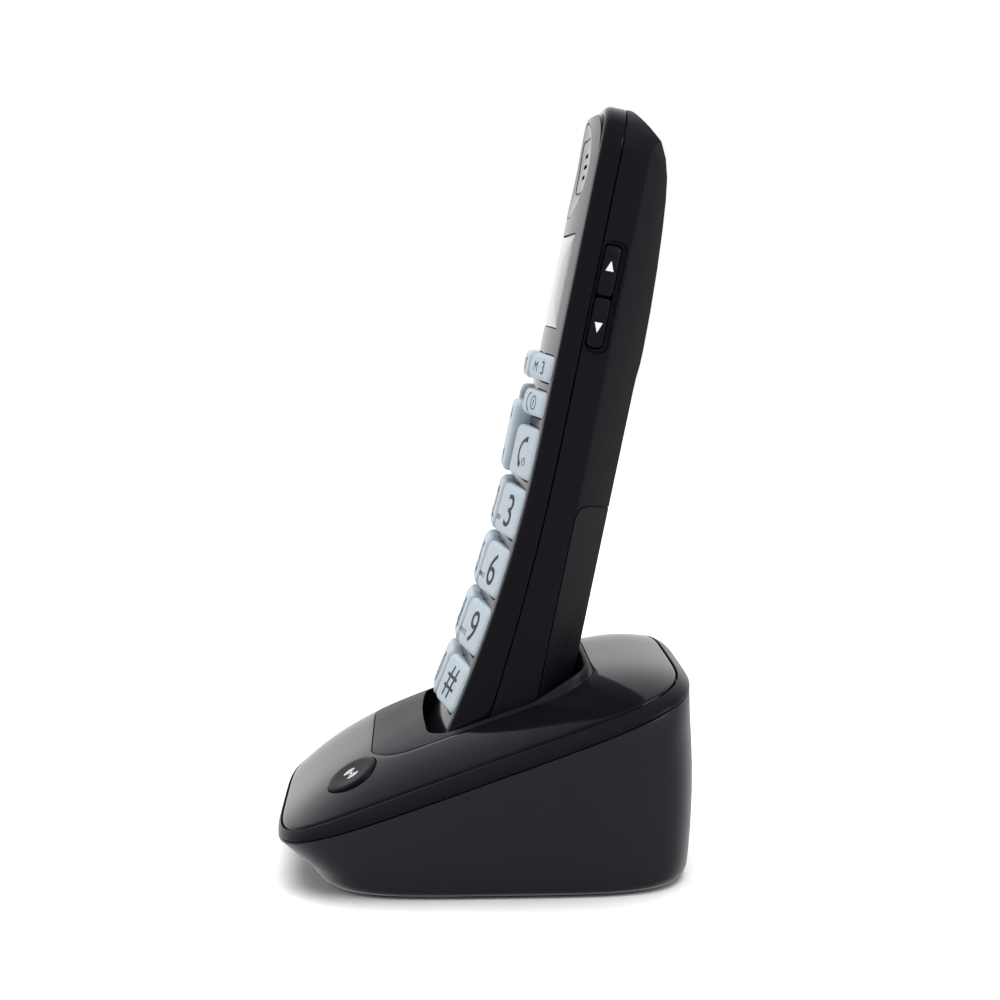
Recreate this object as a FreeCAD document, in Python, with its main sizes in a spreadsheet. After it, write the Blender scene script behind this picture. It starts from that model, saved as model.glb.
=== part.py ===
import FreeCAD, Part
import math
import os
import Sketcher
from FreeCAD import Placement, Rotation, Vector

# Cordless phone standing in its charging base, in millimetres, +Z up. The origin is on the
# surface that the base stands on, under the middle of the base. The keypad faces -Y and the
# volume keys are on the +X side. The handset is drawn upright in a frame of its own, with its
# lower end at z = 0 and the rear half of the case on the +Y side, and is then leaned back
# into the cradle by one placement.

SIZES = {
    # base case: a rounded tub, cut off by a sloping seam, with a rim and a crowned cover
    "base_half_width": 45.5,
    "base_half_depth": 50.1,
    "base_squareness": 4.4,
    "base_wall": 2.2,
    "seam_height": 29.0,
    "seam_slope": 0.355,
    "floor_inset": 7.0,
    "floor_half_width": "=base_half_width - floor_inset",
    "floor_front": 38.0,
    "floor_back": 46.5,
    "floor_level": 0.8,
    "skirt_inset": 4.2,
    "skirt_half_width": "=base_half_width - skirt_inset",
    "skirt_front": 42.5,
    "skirt_back": 49.8,
    "skirt_level": 4.5,
    "rim_rise": 4.1,
    "rim_inset": 3.4,
    "ledge_width": 6.0,
    "cover_thickness": 2.2,
    "crown_rise": 8.6,
    "crown_fullness": 0.75,
    "panel_gap": 0.15,
    # cradle: the matt insert and the pocket that the handset stands in
    "insert_border": 2.0,
    "insert_half_width": "=handset_width / 2 + pocket_clearance + insert_border",
    "insert_front": 27.0,
    "insert_rear_border": 2.855,
    "insert_rear_level": 50.0,
    "insert_back": (
        "=(back_depth + pocket_clearance) / cos(lean_angle * 1 deg)"
        " + insert_rear_level * tan(lean_angle * 1 deg) + insert_rear_border"
    ),
    "insert_corner": 12.0,
    "insert_thickness": 3.0,
    "pocket_clearance": 0.8,
    "pocket_front": 21.6,
    "pocket_corner": 6.0,
    "cradle_wall": 1.6,
    "collar_top": 54.0,
    "dock_distance": 20.0,
    "dock_gap": 1.0,
    "lean_angle": 11.5,
    # base inner parts
    "foot_radius": 5.0,
    "foot_height": 1.5,
    "foot_recess": 0.7,
    "base_screw_inset": 12.0,
    "base_screw_x": "=base_half_width - base_screw_inset",
    "base_screw_front": 14.0,
    "base_screw_back": 24.0,
    "well_radius": 4.6,
    "well_top": 9.0,
    "boss_radius": 3.2,
    "screw_radius": 1.5,
    "screw_head_radius": 2.8,
    "board_thickness": 1.2,
    "base_board_level": 7.2,
    "base_board_half_width": 28.4,
    "base_board_front": 22.0,
    "base_board_back": 44.0,
    "socket_spacing": 28.0,
    "socket_width": 14.0,
    "socket_depth": 15.0,
    "socket_height": 12.0,
    "plug_width": 10.0,
    "plug_height": 6.8,
    "plug_depth": 11.0,
    "socket_face": 49.4,
    "spring_width": 2.4,
    "spring_thickness": 1.2,
    "spring_length": 9.0,
    "contact_spacing": 16.0,
    "contact_depth": 2.0,
    # page button
    "page_inset": 1.8,
    "page_x": "=insert_half_width - page_inset",
    "page_y": 31.7,
    "page_radius": 6.5,
    "page_cap": 3.0,
    "page_stem_radius": 2.6,
    "page_stem": 5.0,
    "page_travel": 1.0,
    "button_clearance": 0.35,
    # handset case
    "handset_length": 166.0,
    "handset_width": 52.0,
    "case_corner": 13.0,
    "face_depth": 8.35,
    "face_bend_height": 87.0,
    "face_bend_radius": 350.0,
    "seam_depth": 3.2,
    "seam_bend_radius": 650.0,
    "back_depth": "=cell_depth + cell_radius + cell_clearance + case_wall",
    "side_depth": 3.5,
    "back_flat_width": 34.0,
    "back_bend_height": 110.0,
    "shoulder_height": 154.0,
    "shoulder_depth": 9.5,
    "crest_depth": 2.0,
    "case_wall": 1.8,
    "front_wall": 2.2,
    "faceplate_thickness": 1.4,
    "faceplate_crown": 2.0,
    "tray_thickness": 1.2,
    # display and receiver
    "window_width": 36.0,
    "window_height": 23.1,
    "window_level": 112.7,
    "lens_thickness": 1.1,
    "lcd_width": 34.0,
    "lcd_height": 25.0,
    "lcd_thickness": 1.6,
    "lcd_border": 2.5,
    "backlight_thickness": 0.6,
    "ear_width": 26.0,
    "ear_height": 13.0,
    "ear_level": 152.7,
    "grille_thickness": 1.0,
    "receiver_radius": 8.5,
    "receiver_thickness": 2.4,
    "ringer_radius": 9.5,
    "ringer_thickness": 4.0,
    "ringer_level": 125.0,
    # keys
    "key_width": 14.6,
    "key_pitch": 15.6,
    "key_corner": 2.2,
    "key_root": 1.9,
    "key_travel": 0.8,
    "key_clearance": 0.3,
    "digit_key_height": 12.4,
    "digit_pitch": 14.8,
    "digit_bottom_level": 23.3,
    "call_key_height": 12.7,
    "call_level": 82.4,
    "small_key_height": 6.4,
    "function_level": 94.5,
    "memory_level": 103.1,
    "navigation_height": 17.4,
    "navigation_level": 85.1,
    "inner_rise": 4.8,
    "outer_rise": 0.55,
    "middle_rise": 5.0,
    "navigation_rise": 6.0,
    "mat_thickness": 1.2,
    "mat_width": 45.0,
    "mat_bottom": 13.5,
    "mat_top": 108.6,
    # volume keys
    "volume_level": 122.3,
    "volume_length": 11.7,
    "volume_width": 3.7,
    "volume_split": 0.5,
    "volume_depth": 0.5,
    "volume_proud": 0.7,
    "volume_thickness": 3.6,
    "volume_travel": 0.6,
    "volume_corner": 1.2,
    # handset inner parts
    "board_width": 38.8,
    "board_bottom": 14.0,
    "board_top": 150.0,
    "board_depth": 2.8,
    "cell_radius": 5.25,
    "cell_length": 44.5,
    "cell_clearance": 0.45,
    "cell_gap": 1.5,
    "cell_spacing": "=2 * cell_radius + cell_gap",
    "cell_front": 0.25,
    "cell_depth": "=cell_radius - cell_front",
    "cell_bottom": 16.2,
    "cover_bottom": 4.5,
    "cover_top": 73.4,
    "tray_depth": 0.5,
    "tray_plate": 0.8,
    "handset_screw_x": 20.0,
    "handset_screw_level": 9.5,
    "case_screw_radius": 0.85,
    "case_boss_radius": 2.2,
    "case_head_radius": 2.0,
}

LINE_SOCKET_SIDE = -1
POWER_SOCKET_SIDE = 1
PAGE_PROUD = 0.4
SWITCH_HEIGHT = 3.5
CARD_THICKNESS = 1.2

doc = FreeCAD.newDocument("cordless_phone")
sheet = doc.addObject("Spreadsheet::Sheet", "dims")
for row, (alias, number) in enumerate(SIZES.items(), start=1):
    sheet.set(f"A{row}", alias)
    sheet.set(f"B{row}", str(number))
    sheet.setAlias(f"B{row}", alias)
doc.recompute()


class SheetValues:
    """Reads a driving size from the sheet by its alias."""

    def __getattr__(self, alias):
        return float(sheet.get(alias))


size = SheetValues()
nodes = []
UPRIGHT = Placement()
X_AXIS = Vector(1, 0, 0)
FAR = 60.0  # long enough for a tool to pass right through the case


def node(obj, label, placement=None):
    """Names a finished sub-part and puts it in its place."""
    obj.Label = label
    if placement is not None:
        obj.Placement = placement
    nodes.append(obj)
    return obj


# ---------------------------------------------------------------- document objects


def origin_plane(body, role):
    """One of a body's own origin planes."""
    return [plane for plane in body.Origin.OriginFeatures if plane.Role == role][0]


def add_sketch(body, name, role):
    """An empty sketch on one of the body's origin planes."""
    sketch = body.newObject("Sketcher::SketchObject", name)
    sketch.AttachmentSupport = (origin_plane(body, role), [""])
    sketch.MapMode = "FlatFace"
    return sketch


def rounded_outline(sketch, width, height, corner):
    """A centred rectangle with round corners, whose sizes are expressions of the sheet."""
    wide, tall, radius = [sheet.evalExpression(text) for text in (width, height, corner)]
    right, top = wide / 2, tall / 2
    turns = [(1, -1), (1, 1), (-1, 1), (-1, -1)]
    for index, (side_x, side_y) in enumerate(turns):
        centre = Vector(side_x * (right - radius), side_y * (top - radius), 0)
        start = -math.pi / 2 + index * math.pi / 2
        circle = Part.Circle(centre, Vector(0, 0, 1), radius)
        before = turns[index - 1]
        line_start = Vector(before[0] * (right - radius), before[1] * (top - radius), 0)
        reach = Vector(math.cos(start), math.sin(start), 0) * radius
        sketch.addGeometry(Part.LineSegment(line_start + reach, centre + reach), False)
        sketch.addGeometry(Part.ArcOfCircle(circle, start, start + math.pi / 2), False)
    rules = []
    for line in (0, 2, 4, 6):
        arc = line + 1
        rules.append(Sketcher.Constraint("Tangent", line, 2, arc, 1))
        rules.append(Sketcher.Constraint("Tangent", arc, 2, (arc + 1) % 8, 1))
    rules += [Sketcher.Constraint("Horizontal", line) for line in (0, 4)]
    rules += [Sketcher.Constraint("Vertical", line) for line in (2, 6)]
    rules += [Sketcher.Constraint("Equal", 1, arc) for arc in (3, 5, 7)]
    rules.append(Sketcher.Constraint("Symmetric", 1, 3, 5, 3, -1, 1))
    sketch.addConstraint(rules)
    driven = (
        ("wide", Sketcher.Constraint("DistanceX", 6, 1, 2, 1, wide), width),
        ("tall", Sketcher.Constraint("DistanceY", 0, 1, 4, 1, tall), height),
        ("corner", Sketcher.Constraint("Radius", 1, radius), corner),
    )
    for name, rule, text in driven:
        sketch.renameConstraint(sketch.addConstraint(rule), name)
        sketch.setExpression("Constraints." + name, text)


def slab_body(name, width, height, corner, thickness, role="XZ_Plane"):
    """A padded rounded rectangle. From the XZ plane it grows towards -Y."""
    body = doc.addObject("PartDesign::Body", name)
    sketch = add_sketch(body, name + "_outline", role)
    rounded_outline(sketch, width, height, corner)
    pad = body.newObject("PartDesign::Pad", name + "_pad")
    pad.Profile = sketch
    pad.setExpression("Length", thickness)
    return body


def slope_top(body, name, low_side, high_side, reach):
    """Cuts the front of a body off along a line that rises from one side to the other."""
    sketch = add_sketch(body, name + "_slope", "XY_Plane")
    corners = [
        Vector(-reach, -low_side, 0),
        Vector(reach, -high_side, 0),
        Vector(reach, -FAR, 0),
        Vector(-reach, -FAR, 0),
    ]
    for start, end in zip(corners, corners[1:] + corners[:1]):
        sketch.addGeometry(Part.LineSegment(start, end), False)
    pocket = body.newObject("PartDesign::Pocket", name + "_cut")
    pocket.Profile = sketch
    pocket.SideType = "Symmetric"
    pocket.Type = "ThroughAll"


def block(name, lengths, low, placement=UPRIGHT):
    """A Part box from its lowest corner; each length is an expression or a number."""
    box = doc.addObject("Part::Box", name)
    for side, length in zip(("Length", "Width", "Height"), lengths):
        if isinstance(length, str):
            box.setExpression(side, length)
        else:
            setattr(box, side, length)
    box.Placement = placement.multiply(Placement(Vector(*low), Rotation()))
    return box


def centred_block(name, lengths, centre, placement=UPRIGHT):
    """A Part box about its centre."""
    spans = [sheet.evalExpression(s) if isinstance(s, str) else s for s in lengths]
    low = [middle - span / 2 for middle, span in zip(centre, spans)]
    return block(name, lengths, low, placement)


def rod(name, radius, height, start, direction, placement=UPRIGHT):
    """A Part cylinder from its start point along a direction."""
    cylinder = doc.addObject("Part::Cylinder", name)
    for side, length in (("Radius", radius), ("Height", height)):
        if isinstance(length, str):
            cylinder.setExpression(side, length)
        else:
            setattr(cylinder, side, length)
    turn = Rotation(Vector(0, 0, 1), direction)
    cylinder.Placement = placement.multiply(Placement(Vector(*start), turn))
    return cylinder


def shaped(name, shape):
    """A curved form that neither sketches nor primitives give."""
    feature = doc.addObject("Part::Feature", name)
    feature.Shape = shape
    return feature


def fuse(name, parts):
    """Joins document objects into one shape."""
    feature = doc.addObject("Part::MultiFuse", name)
    feature.Shapes = parts
    return feature


def cut(name, base, tools):
    """Takes tools away from a base."""
    feature = doc.addObject("Part::Cut", name)
    feature.Base = base
    feature.Tool = tools[0] if len(tools) == 1 else fuse(name + "_tools", tools)
    return feature


def common(name, parts):
    """What all the parts share, taken two at a time."""
    shared = parts[0]
    for index, part in enumerate(parts[1:]):
        feature = doc.addObject("Part::Common", f"{name}_{index}")
        feature.Base = shared
        feature.Tool = part
        shared = feature
    return shared


def group(name, parts):
    """Separate solids that share one node."""
    feature = doc.addObject("Part::Compound", name)
    feature.Links = parts
    return feature


# ---------------------------------------------------------------- base forms


def oval(half_width, front, back, level, slope, squareness):
    """A closed curve between a rectangle and an ellipse; level is its height at y = 0."""
    middle, half_depth = (back - front) / 2, (back + front) / 2
    points = []
    for step in range(48):
        turn = 2 * math.pi * step / 48
        across, along = math.cos(turn), math.sin(turn)
        x = half_width * math.copysign(abs(across) ** (2 / squareness), across)
        y = middle + half_depth * math.copysign(abs(along) ** (2 / squareness), along)
        points.append(Vector(x, y, level + slope * y))
    curve = Part.BSplineCurve()
    curve.interpolate(points, PeriodicFlag=True)
    return Part.Wire(curve.toShape())


def seam_oval(inset, rise):
    """The outline of the base at a height above its seam, this far inside the seam."""
    return oval(
        size.base_half_width - inset,
        size.base_half_depth - inset,
        size.base_half_depth - inset,
        size.seam_height + rise,
        size.seam_slope,
        size.base_squareness,
    )


def seam_prism(inset, low, high):
    """An upright prism of the base's outline, between two heights above the seam."""
    return Part.makeLoft([seam_oval(inset, low), seam_oval(inset, high)], True, True)


def tub_wires(inset, floor_rise):
    """Outlines of the tub from its floor to its seam, this far inside its skin."""
    return [
        oval(
            size.floor_half_width - inset,
            size.floor_front - inset,
            size.floor_back - inset,
            size.floor_level + floor_rise,
            0,
            size.base_squareness,
        ),
        oval(
            size.skirt_half_width - inset,
            size.skirt_front - inset,
            size.skirt_back - inset,
            size.skirt_level + floor_rise,
            0,
            size.base_squareness,
        ),
        seam_oval(inset, 0),
    ]


def crown_height(x, y):
    """Height of the crowned cover above the floor."""
    half_width = size.base_half_width - size.rim_inset
    half_depth = size.base_half_depth - size.rim_inset
    power = size.base_squareness
    share = abs(x / half_width) ** power + abs(y / half_depth) ** power
    crown = size.crown_rise * (1 - share**size.crown_fullness)
    return size.seam_height + size.rim_rise + size.seam_slope * y + crown


def crowned_block(depth):
    """A block whose top is the crowned cover surface."""
    margin = 1.2
    half_width = size.base_half_width - size.rim_inset + margin
    half_depth = size.base_half_depth - size.rim_inset + margin
    steps = 14
    rows = []
    for column in range(steps + 1):
        x = half_width * (2 * column / steps - 1)
        levels = [half_depth * (2 * k / steps - 1) for k in range(steps + 1)]
        rows.append([Vector(x, y, crown_height(x, y)) for y in levels])
    surface = Part.BSplineSurface()
    surface.interpolate(rows)
    return surface.toShape().extrude(Vector(0, 0, -depth))


def crown_normal(x, y):
    """Direction that the crowned surface faces."""
    step = 0.05
    slope_x = (crown_height(x + step, y) - crown_height(x - step, y)) / (2 * step)
    slope_y = (crown_height(x, y + step) - crown_height(x, y - step)) / (2 * step)
    normal = Vector(-slope_x, -slope_y, 1)
    return normal.normalize()


# ---------------------------------------------------------------- handset forms

lean = Rotation(X_AXIS, -size.lean_angle)
DOCKED = Placement(lean.multVec(Vector(0, 0, size.dock_distance)), lean)
END = 8.0  # how far curves run past the ends of the case


def bent_line(depth, radius):
    """A line down the case that bends forwards below the bend height, as edges from the top."""
    bend = size.face_bend_height
    centre_y = depth - radius

    def on_arc(level):
        return Vector(0, centre_y + math.sqrt(radius**2 - (bend - level) ** 2), level)

    top = Vector(0, depth, size.handset_length + END)
    middle = Vector(0, depth, bend)
    arc = Part.Arc(middle, on_arc(bend / 2), on_arc(-END))
    return [Part.LineSegment(top, middle).toShape(), arc.toShape()], top, on_arc(-END)


def side_prism(name, front, back, half_width):
    """A prism across the case between two of its lengthwise curves, each edges, top, bottom."""
    edges = front[0] + back[0]
    edges += [Part.LineSegment(front[1], back[1]).toShape()]
    edges += [Part.LineSegment(front[2], back[2]).toShape()]
    wire = Part.Wire(Part.__sortEdges__(edges))
    face = Part.Face(wire)
    solid = face.extrude(Vector(2 * half_width, 0, 0))
    solid.translate(Vector(-half_width, 0, 0))
    return shaped(name, solid)


def face_curve(inward):
    """The front of the case, moved inwards."""
    return bent_line(-size.face_depth + inward, size.face_bend_radius + inward)


def seam_curve(inward):
    """The seam between the front and rear shells, moved inwards."""
    return bent_line(-size.seam_depth + inward, size.seam_bend_radius + inward)


def back_curve(inset):
    """The back of the case, moved inwards: straight, then a slow arc and a sloping shoulder."""
    depth = size.back_depth - inset
    low = Vector(0, depth, -END)
    bend = Vector(0, depth, size.back_bend_height)
    shoulder = Vector(0, size.shoulder_depth - inset, size.shoulder_height - inset / 2)
    rise = shoulder.z - bend.z
    drop = bend.y - shoulder.y
    radius = (rise**2 + drop**2) / (2 * drop)
    half = rise / 2
    halfway = Vector(0, bend.y - radius + math.sqrt(radius**2 - half**2), bend.z + half)
    crest = Vector(0, -size.crest_depth - inset, size.handset_length - inset)
    top = Vector(0, -size.crest_depth - inset, size.handset_length + END)
    edges = [
        Part.LineSegment(low, bend).toShape(),
        Part.Arc(bend, halfway, shoulder).toShape(),
        Part.LineSegment(shoulder, crest).toShape(),
        Part.LineSegment(crest, top).toShape(),
    ]
    return edges, top, low


def case_prism(name, inset):
    """The front view of the case, this far inside its edge, as a prism through it."""
    width = f"dims.handset_width - {2 * inset}"
    height = f"dims.handset_length - {2 * inset}"
    corner = f"dims.case_corner - {inset}"
    body = slab_body(name, width, height, corner, str(2 * FAR))
    body.Placement = Placement(Vector(0, FAR, size.handset_length / 2), Rotation())
    return body


def section_prism(name, inset):
    """The case seen from its end: straight sides with sloping corners behind."""
    half = size.handset_width / 2 - inset
    flat = size.back_flat_width / 2 - inset * 0.4
    corners = [
        Vector(-half, -FAR, -END),
        Vector(half, -FAR, -END),
        Vector(half, size.side_depth - inset * 0.4, -END),
        Vector(flat, size.back_depth - inset, -END),
        Vector(-flat, size.back_depth - inset, -END),
        Vector(-half, size.side_depth - inset * 0.4, -END),
    ]
    face = Part.Face(Part.makePolygon(corners + corners[:1]))
    return shaped(name, face.extrude(Vector(0, 0, size.handset_length + 2 * END)))


def crowned_band(name, inner, outer, half_width):
    """A band across the case that follows the face; its front is crowned, its back flat."""
    bend = size.face_bend_height
    near = -size.face_depth - outer
    far = -size.face_depth + inner
    left, right = Vector(-half_width, near, bend), Vector(half_width, near, bend)
    top = Vector(0, near - size.faceplate_crown, bend)
    back_left, back_right = Vector(-half_width, far, bend), Vector(half_width, far, bend)
    edges = [
        Part.Arc(left, top, right).toShape(),
        Part.LineSegment(right, back_right).toShape(),
        Part.LineSegment(back_right, back_left).toShape(),
        Part.LineSegment(back_left, left).toShape(),
    ]
    face = Part.Face(Part.Wire(edges))
    straight = face.extrude(Vector(0, 0, size.handset_length + END - bend))
    hub = Vector(0, -size.face_depth - size.face_bend_radius, bend)
    turn = math.degrees(math.asin(bend / size.face_bend_radius)) + 2
    curved = face.revolve(hub, X_AXIS, -turn)
    return shaped(name, straight.fuse(curved).removeSplitter())


def face_place(x, level, inward=0.0):
    """A frame on the face at a height: y points into the case, square to the face."""
    below = max(size.face_bend_height - level, 0)
    tilt = math.asin(below / size.face_bend_radius)
    forward = size.face_bend_radius * (1 - math.cos(tilt))
    point = Vector(x, -size.face_depth - forward, level)
    seat = Placement(point, Rotation(X_AXIS, -math.degrees(tilt)))
    return seat.multiply(Placement(Vector(0, inward, 0), Rotation()))


# ---------------------------------------------------------------- keys


def key_rows():
    """Each key: name, column (-1, 0, 1), height on the case, key height, rises."""
    side = (size.inner_rise, size.outer_rise)
    middle = (size.middle_rise, size.middle_rise)
    rows = []
    for column, name in zip((-1, 0, 1), ("memory_1", "memory_2", "memory_3")):
        rises = middle if column == 0 else side
        rows.append((name, column, size.memory_level, "small_key_height", rises))
    rows.append(("function_left", -1, size.function_level, "small_key_height", side))
    rows.append(("function_right", 1, size.function_level, "small_key_height", side))
    rows.append(("call", -1, size.call_level, "call_key_height", side))
    raised = (size.navigation_rise, size.navigation_rise)
    rows.append(("navigation", 0, size.navigation_level, "navigation_height", raised))
    rows.append(("end", 1, size.call_level, "call_key_height", side))
    digits = (("star", "0", "hash"), ("7", "8", "9"), ("4", "5", "6"), ("1", "2", "3"))
    for row, names in enumerate(digits):
        level = size.digit_bottom_level + row * size.digit_pitch
        for column, name in zip((-1, 0, 1), names):
            rises = middle if column == 0 else side
            rows.append((name, column, level, "digit_key_height", rises))
    return rows


def add_keys():
    """Makes the keys and returns the tools that open their holes."""
    holes = []
    for name, column, level, height, (inner, outer) in key_rows():
        label = "key_" + name
        tall = inner + size.key_root + 1
        body = slab_body(label, "dims.key_width", "dims." + height, "dims.key_corner", str(tall))
        left, right = {-1: (outer, inner), 0: (inner, inner), 1: (inner, outer)}[column]
        half = size.key_width / 2
        slope_top(body, label, left + size.key_root, right + size.key_root, half)
        x = column * size.key_pitch
        node(body, label, DOCKED.multiply(face_place(x, level, size.key_root)))
        room = f" + {2 * size.key_clearance}"
        lengths = ("dims.key_width" + room, 16.0, "dims." + height + room)
        holes.append(centred_block(label + "_hole", lengths, (0, 0, 0), face_place(x, level)))
    return holes


# ---------------------------------------------------------------- handset


def build_front(key_holes):
    """Front shell, faceplate, display window, receiver grille and keypad mat."""
    window_middle = size.window_level + size.window_height / 2
    seat = size.faceplate_thickness + 0.1
    ear_hole = slab_body(
        "ear_hole", "dims.ear_width + 0.4", "dims.ear_height + 0.4",
        "dims.ear_height / 2 - 0.3", "16",
    )
    ear_hole.Placement = Placement(Vector(0, 0, size.ear_level), Rotation())
    mouth_place = face_place(0, size.handset_screw_level)
    sound_hole = rod("mouth_hole", 0.6, 12.0, (0, -6, 0), Vector(0, 1, 0), mouth_place)
    glass_hole = centred_block(
        "window_hole",
        ("dims.window_width", 16.0, "dims.window_height"),
        (0, -size.face_depth, window_middle),
    )
    frame_inside = size.handset_width / 2 - size.front_wall
    wide = size.handset_width

    # faceplate
    plate = common(
        "plate_form",
        [
            crowned_band("plate_band", size.faceplate_thickness, 0, frame_inside),
            case_prism("plate_edge", size.front_wall + 0.1),
        ],
    )
    faceplate = cut("faceplate_cut", plate, key_holes + [ear_hole, glass_hole, sound_hole])
    node(faceplate, "faceplate", DOCKED)

    # clear window that fills its hole
    lens_band = crowned_band("lens_band", size.lens_thickness, 0, frame_inside)
    lens_edge = centred_block(
        "lens_edge",
        ("dims.window_width - 0.3", 16.0, "dims.window_height - 0.3"),
        (0, -size.face_depth, window_middle),
    )
    node(common("lens_form", [lens_band, lens_edge]), "display_lens", DOCKED)

    # front shell: a frame round the face with a tray behind the faceplate
    tray_back = seat + size.tray_thickness
    outer = common(
        "front_form",
        [
            side_prism("front_block", face_curve(0), seam_curve(0), wide),
            case_prism("front_edge", 0),
        ],
    )
    recess = common(
        "front_recess",
        [
            side_prism("recess_block", face_curve(-6), face_curve(seat), wide),
            case_prism("recess_edge", size.front_wall),
        ],
    )
    hollow = common(
        "front_hollow",
        [
            side_prism("hollow_block", face_curve(tray_back), seam_curve(2), wide),
            case_prism("hollow_edge", size.case_wall),
        ],
    )
    tray_window = centred_block(
        "tray_window",
        ("dims.window_width - 3", 16.0, "dims.window_height - 1.5"),
        (0, -size.face_depth, window_middle),
    )
    ear_port = rod("ear_port", 5.0, 16.0, (0, -16, size.ear_level), Vector(0, 1, 0))
    shell = cut("front_hollowed", outer, [recess, hollow])
    shell = cut("front_opened", shell, key_holes + [tray_window, ear_port, sound_hole])
    screw_front = face_place(0, size.handset_screw_level, seat + 0.3).Base.y
    boss_end = -size.tray_depth - size.tray_plate - 0.3
    bore = "dims.case_screw_radius + 0.05"
    inwards = Vector(0, 1, 0)
    posts = []
    bores = []
    for side in (-1, 1):
        x = side * size.handset_screw_x
        foot = (x, screw_front, size.handset_screw_level)
        length = boss_end - screw_front
        posts.append(rod(f"front_boss_{side}", "dims.case_boss_radius", length, foot, inwards))
        start = (x, screw_front + 2.5, size.handset_screw_level)
        bores.append(rod(f"front_bore_{side}", bore, 20.0, start, inwards))
    node(cut("front_shell_cut", fuse("front_bossed", [shell] + posts), bores), "front_shell", DOCKED)

    # receiver grille: an oval plate with slots
    grille = slab_body(
        "grille_plate", "dims.ear_width", "dims.ear_height", "dims.ear_height / 2 - 0.4",
        "dims.grille_thickness",
    )
    grille.Placement = Placement(
        Vector(0, -size.face_depth + size.faceplate_thickness - 0.1, size.ear_level), Rotation()
    )
    slots = [
        centred_block(
            f"grille_slot_{row}",
            (11.0, 12.0, 1.1),
            (0, -size.face_depth, size.ear_level + row * 2.6),
        )
        for row in (-1, 0, 1)
    ]
    node(cut("grille_cut", grille, slots), "receiver_grille", DOCKED)

    # keypad mat behind the keys
    mat_front = tray_back + 0.35
    mat_back = mat_front + size.mat_thickness
    mat_block = side_prism("mat_block", face_curve(mat_front), face_curve(mat_back), wide)
    mat_height = "dims.mat_top - dims.mat_bottom"
    mat_edge = slab_body("mat_edge", "dims.mat_width", mat_height, "5", str(2 * FAR))
    mat_edge.Placement = Placement(Vector(0, FAR, (size.mat_top + size.mat_bottom) / 2), Rotation())
    node(common("mat_form", [mat_block, mat_edge]), "keypad_mat", DOCKED)


def build_rear():
    """Rear shell and battery cover."""
    outer = common(
        "rear_form",
        [
            side_prism("rear_block", seam_curve(0.05), back_curve(0), size.handset_width),
            case_prism("rear_edge", 0),
            section_prism("rear_section", 0),
        ],
    )
    hollow = common(
        "rear_hollow",
        [
            side_prism("rear_room", seam_curve(-4), back_curve(size.case_wall), size.handset_width),
            case_prism("rear_room_edge", size.case_wall),
            section_prism("rear_room_section", size.case_wall),
        ],
    )
    width = 2 * size.handset_width
    cover_height = size.cover_top - size.cover_bottom
    cover_low = (-size.handset_width, size.side_depth, size.cover_bottom)
    gap = size.panel_gap
    cover_box = block("cover_box", (width, 30.0, cover_height), cover_low)
    opening = block(
        "cover_opening",
        (width, 30.0, cover_height + 2 * gap),
        (cover_low[0], size.side_depth - gap, size.cover_bottom - gap),
    )
    cover_form = common("battery_cover_form", [outer, cover_box])
    node(cut("battery_cover_cut", cover_form, [hollow]), "battery_cover", DOCKED)

    wall = cut("rear_wall", outer, [hollow, opening])
    inner_width = size.handset_width - 2 * size.case_wall + 0.4
    tray = block(
        "battery_tray",
        (inner_width, size.tray_plate, size.cover_top - size.cover_bottom),
        (-inner_width / 2, -size.tray_depth - size.tray_plate, size.cover_bottom),
    )
    bulkhead_low = (-size.handset_width / 2, -size.tray_depth - size.tray_plate, size.cover_top + gap)
    bulkhead_box = block("bulkhead", ("dims.handset_width", 30.0, 1.4), bulkhead_low)
    bulkhead = common("bulkhead_form", [bulkhead_box, outer])
    volume_hole = block(
        "volume_hole",
        (10.0, size.volume_width + 0.5, 2 * size.volume_length + size.volume_split + 0.5),
        (
            size.handset_width / 2 - 5,
            -size.volume_depth - size.volume_width / 2 - 0.25,
            size.volume_level - size.volume_length - size.volume_split / 2 - 0.25,
        ),
    )
    cuts = [volume_hole]
    for row in (-1, 0, 1):
        level = size.ringer_level + row * 4
        cuts.append(centred_block(f"ringer_slot_{row}", (12.0, 8.0, 1.6), (0, size.back_depth, level)))
    clear = "dims.case_screw_radius + 0.3"
    for side in (-1, 1):
        x = side * size.handset_screw_x
        start = (x, -size.tray_depth - 2, size.handset_screw_level)
        cuts.append(rod(f"tray_hole_{side}", clear, 4.0, start, Vector(0, 1, 0)))
        centre = (side * size.contact_spacing / 2, size.contact_depth, 0)
        cuts.append(centred_block(f"contact_hole_{side}", (4.4, 3.4, 8.0), centre))
    joined = fuse("rear_joined", [wall, tray, bulkhead])
    node(cut("rear_shell_cut", joined, cuts), "rear_shell", DOCKED)


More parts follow.
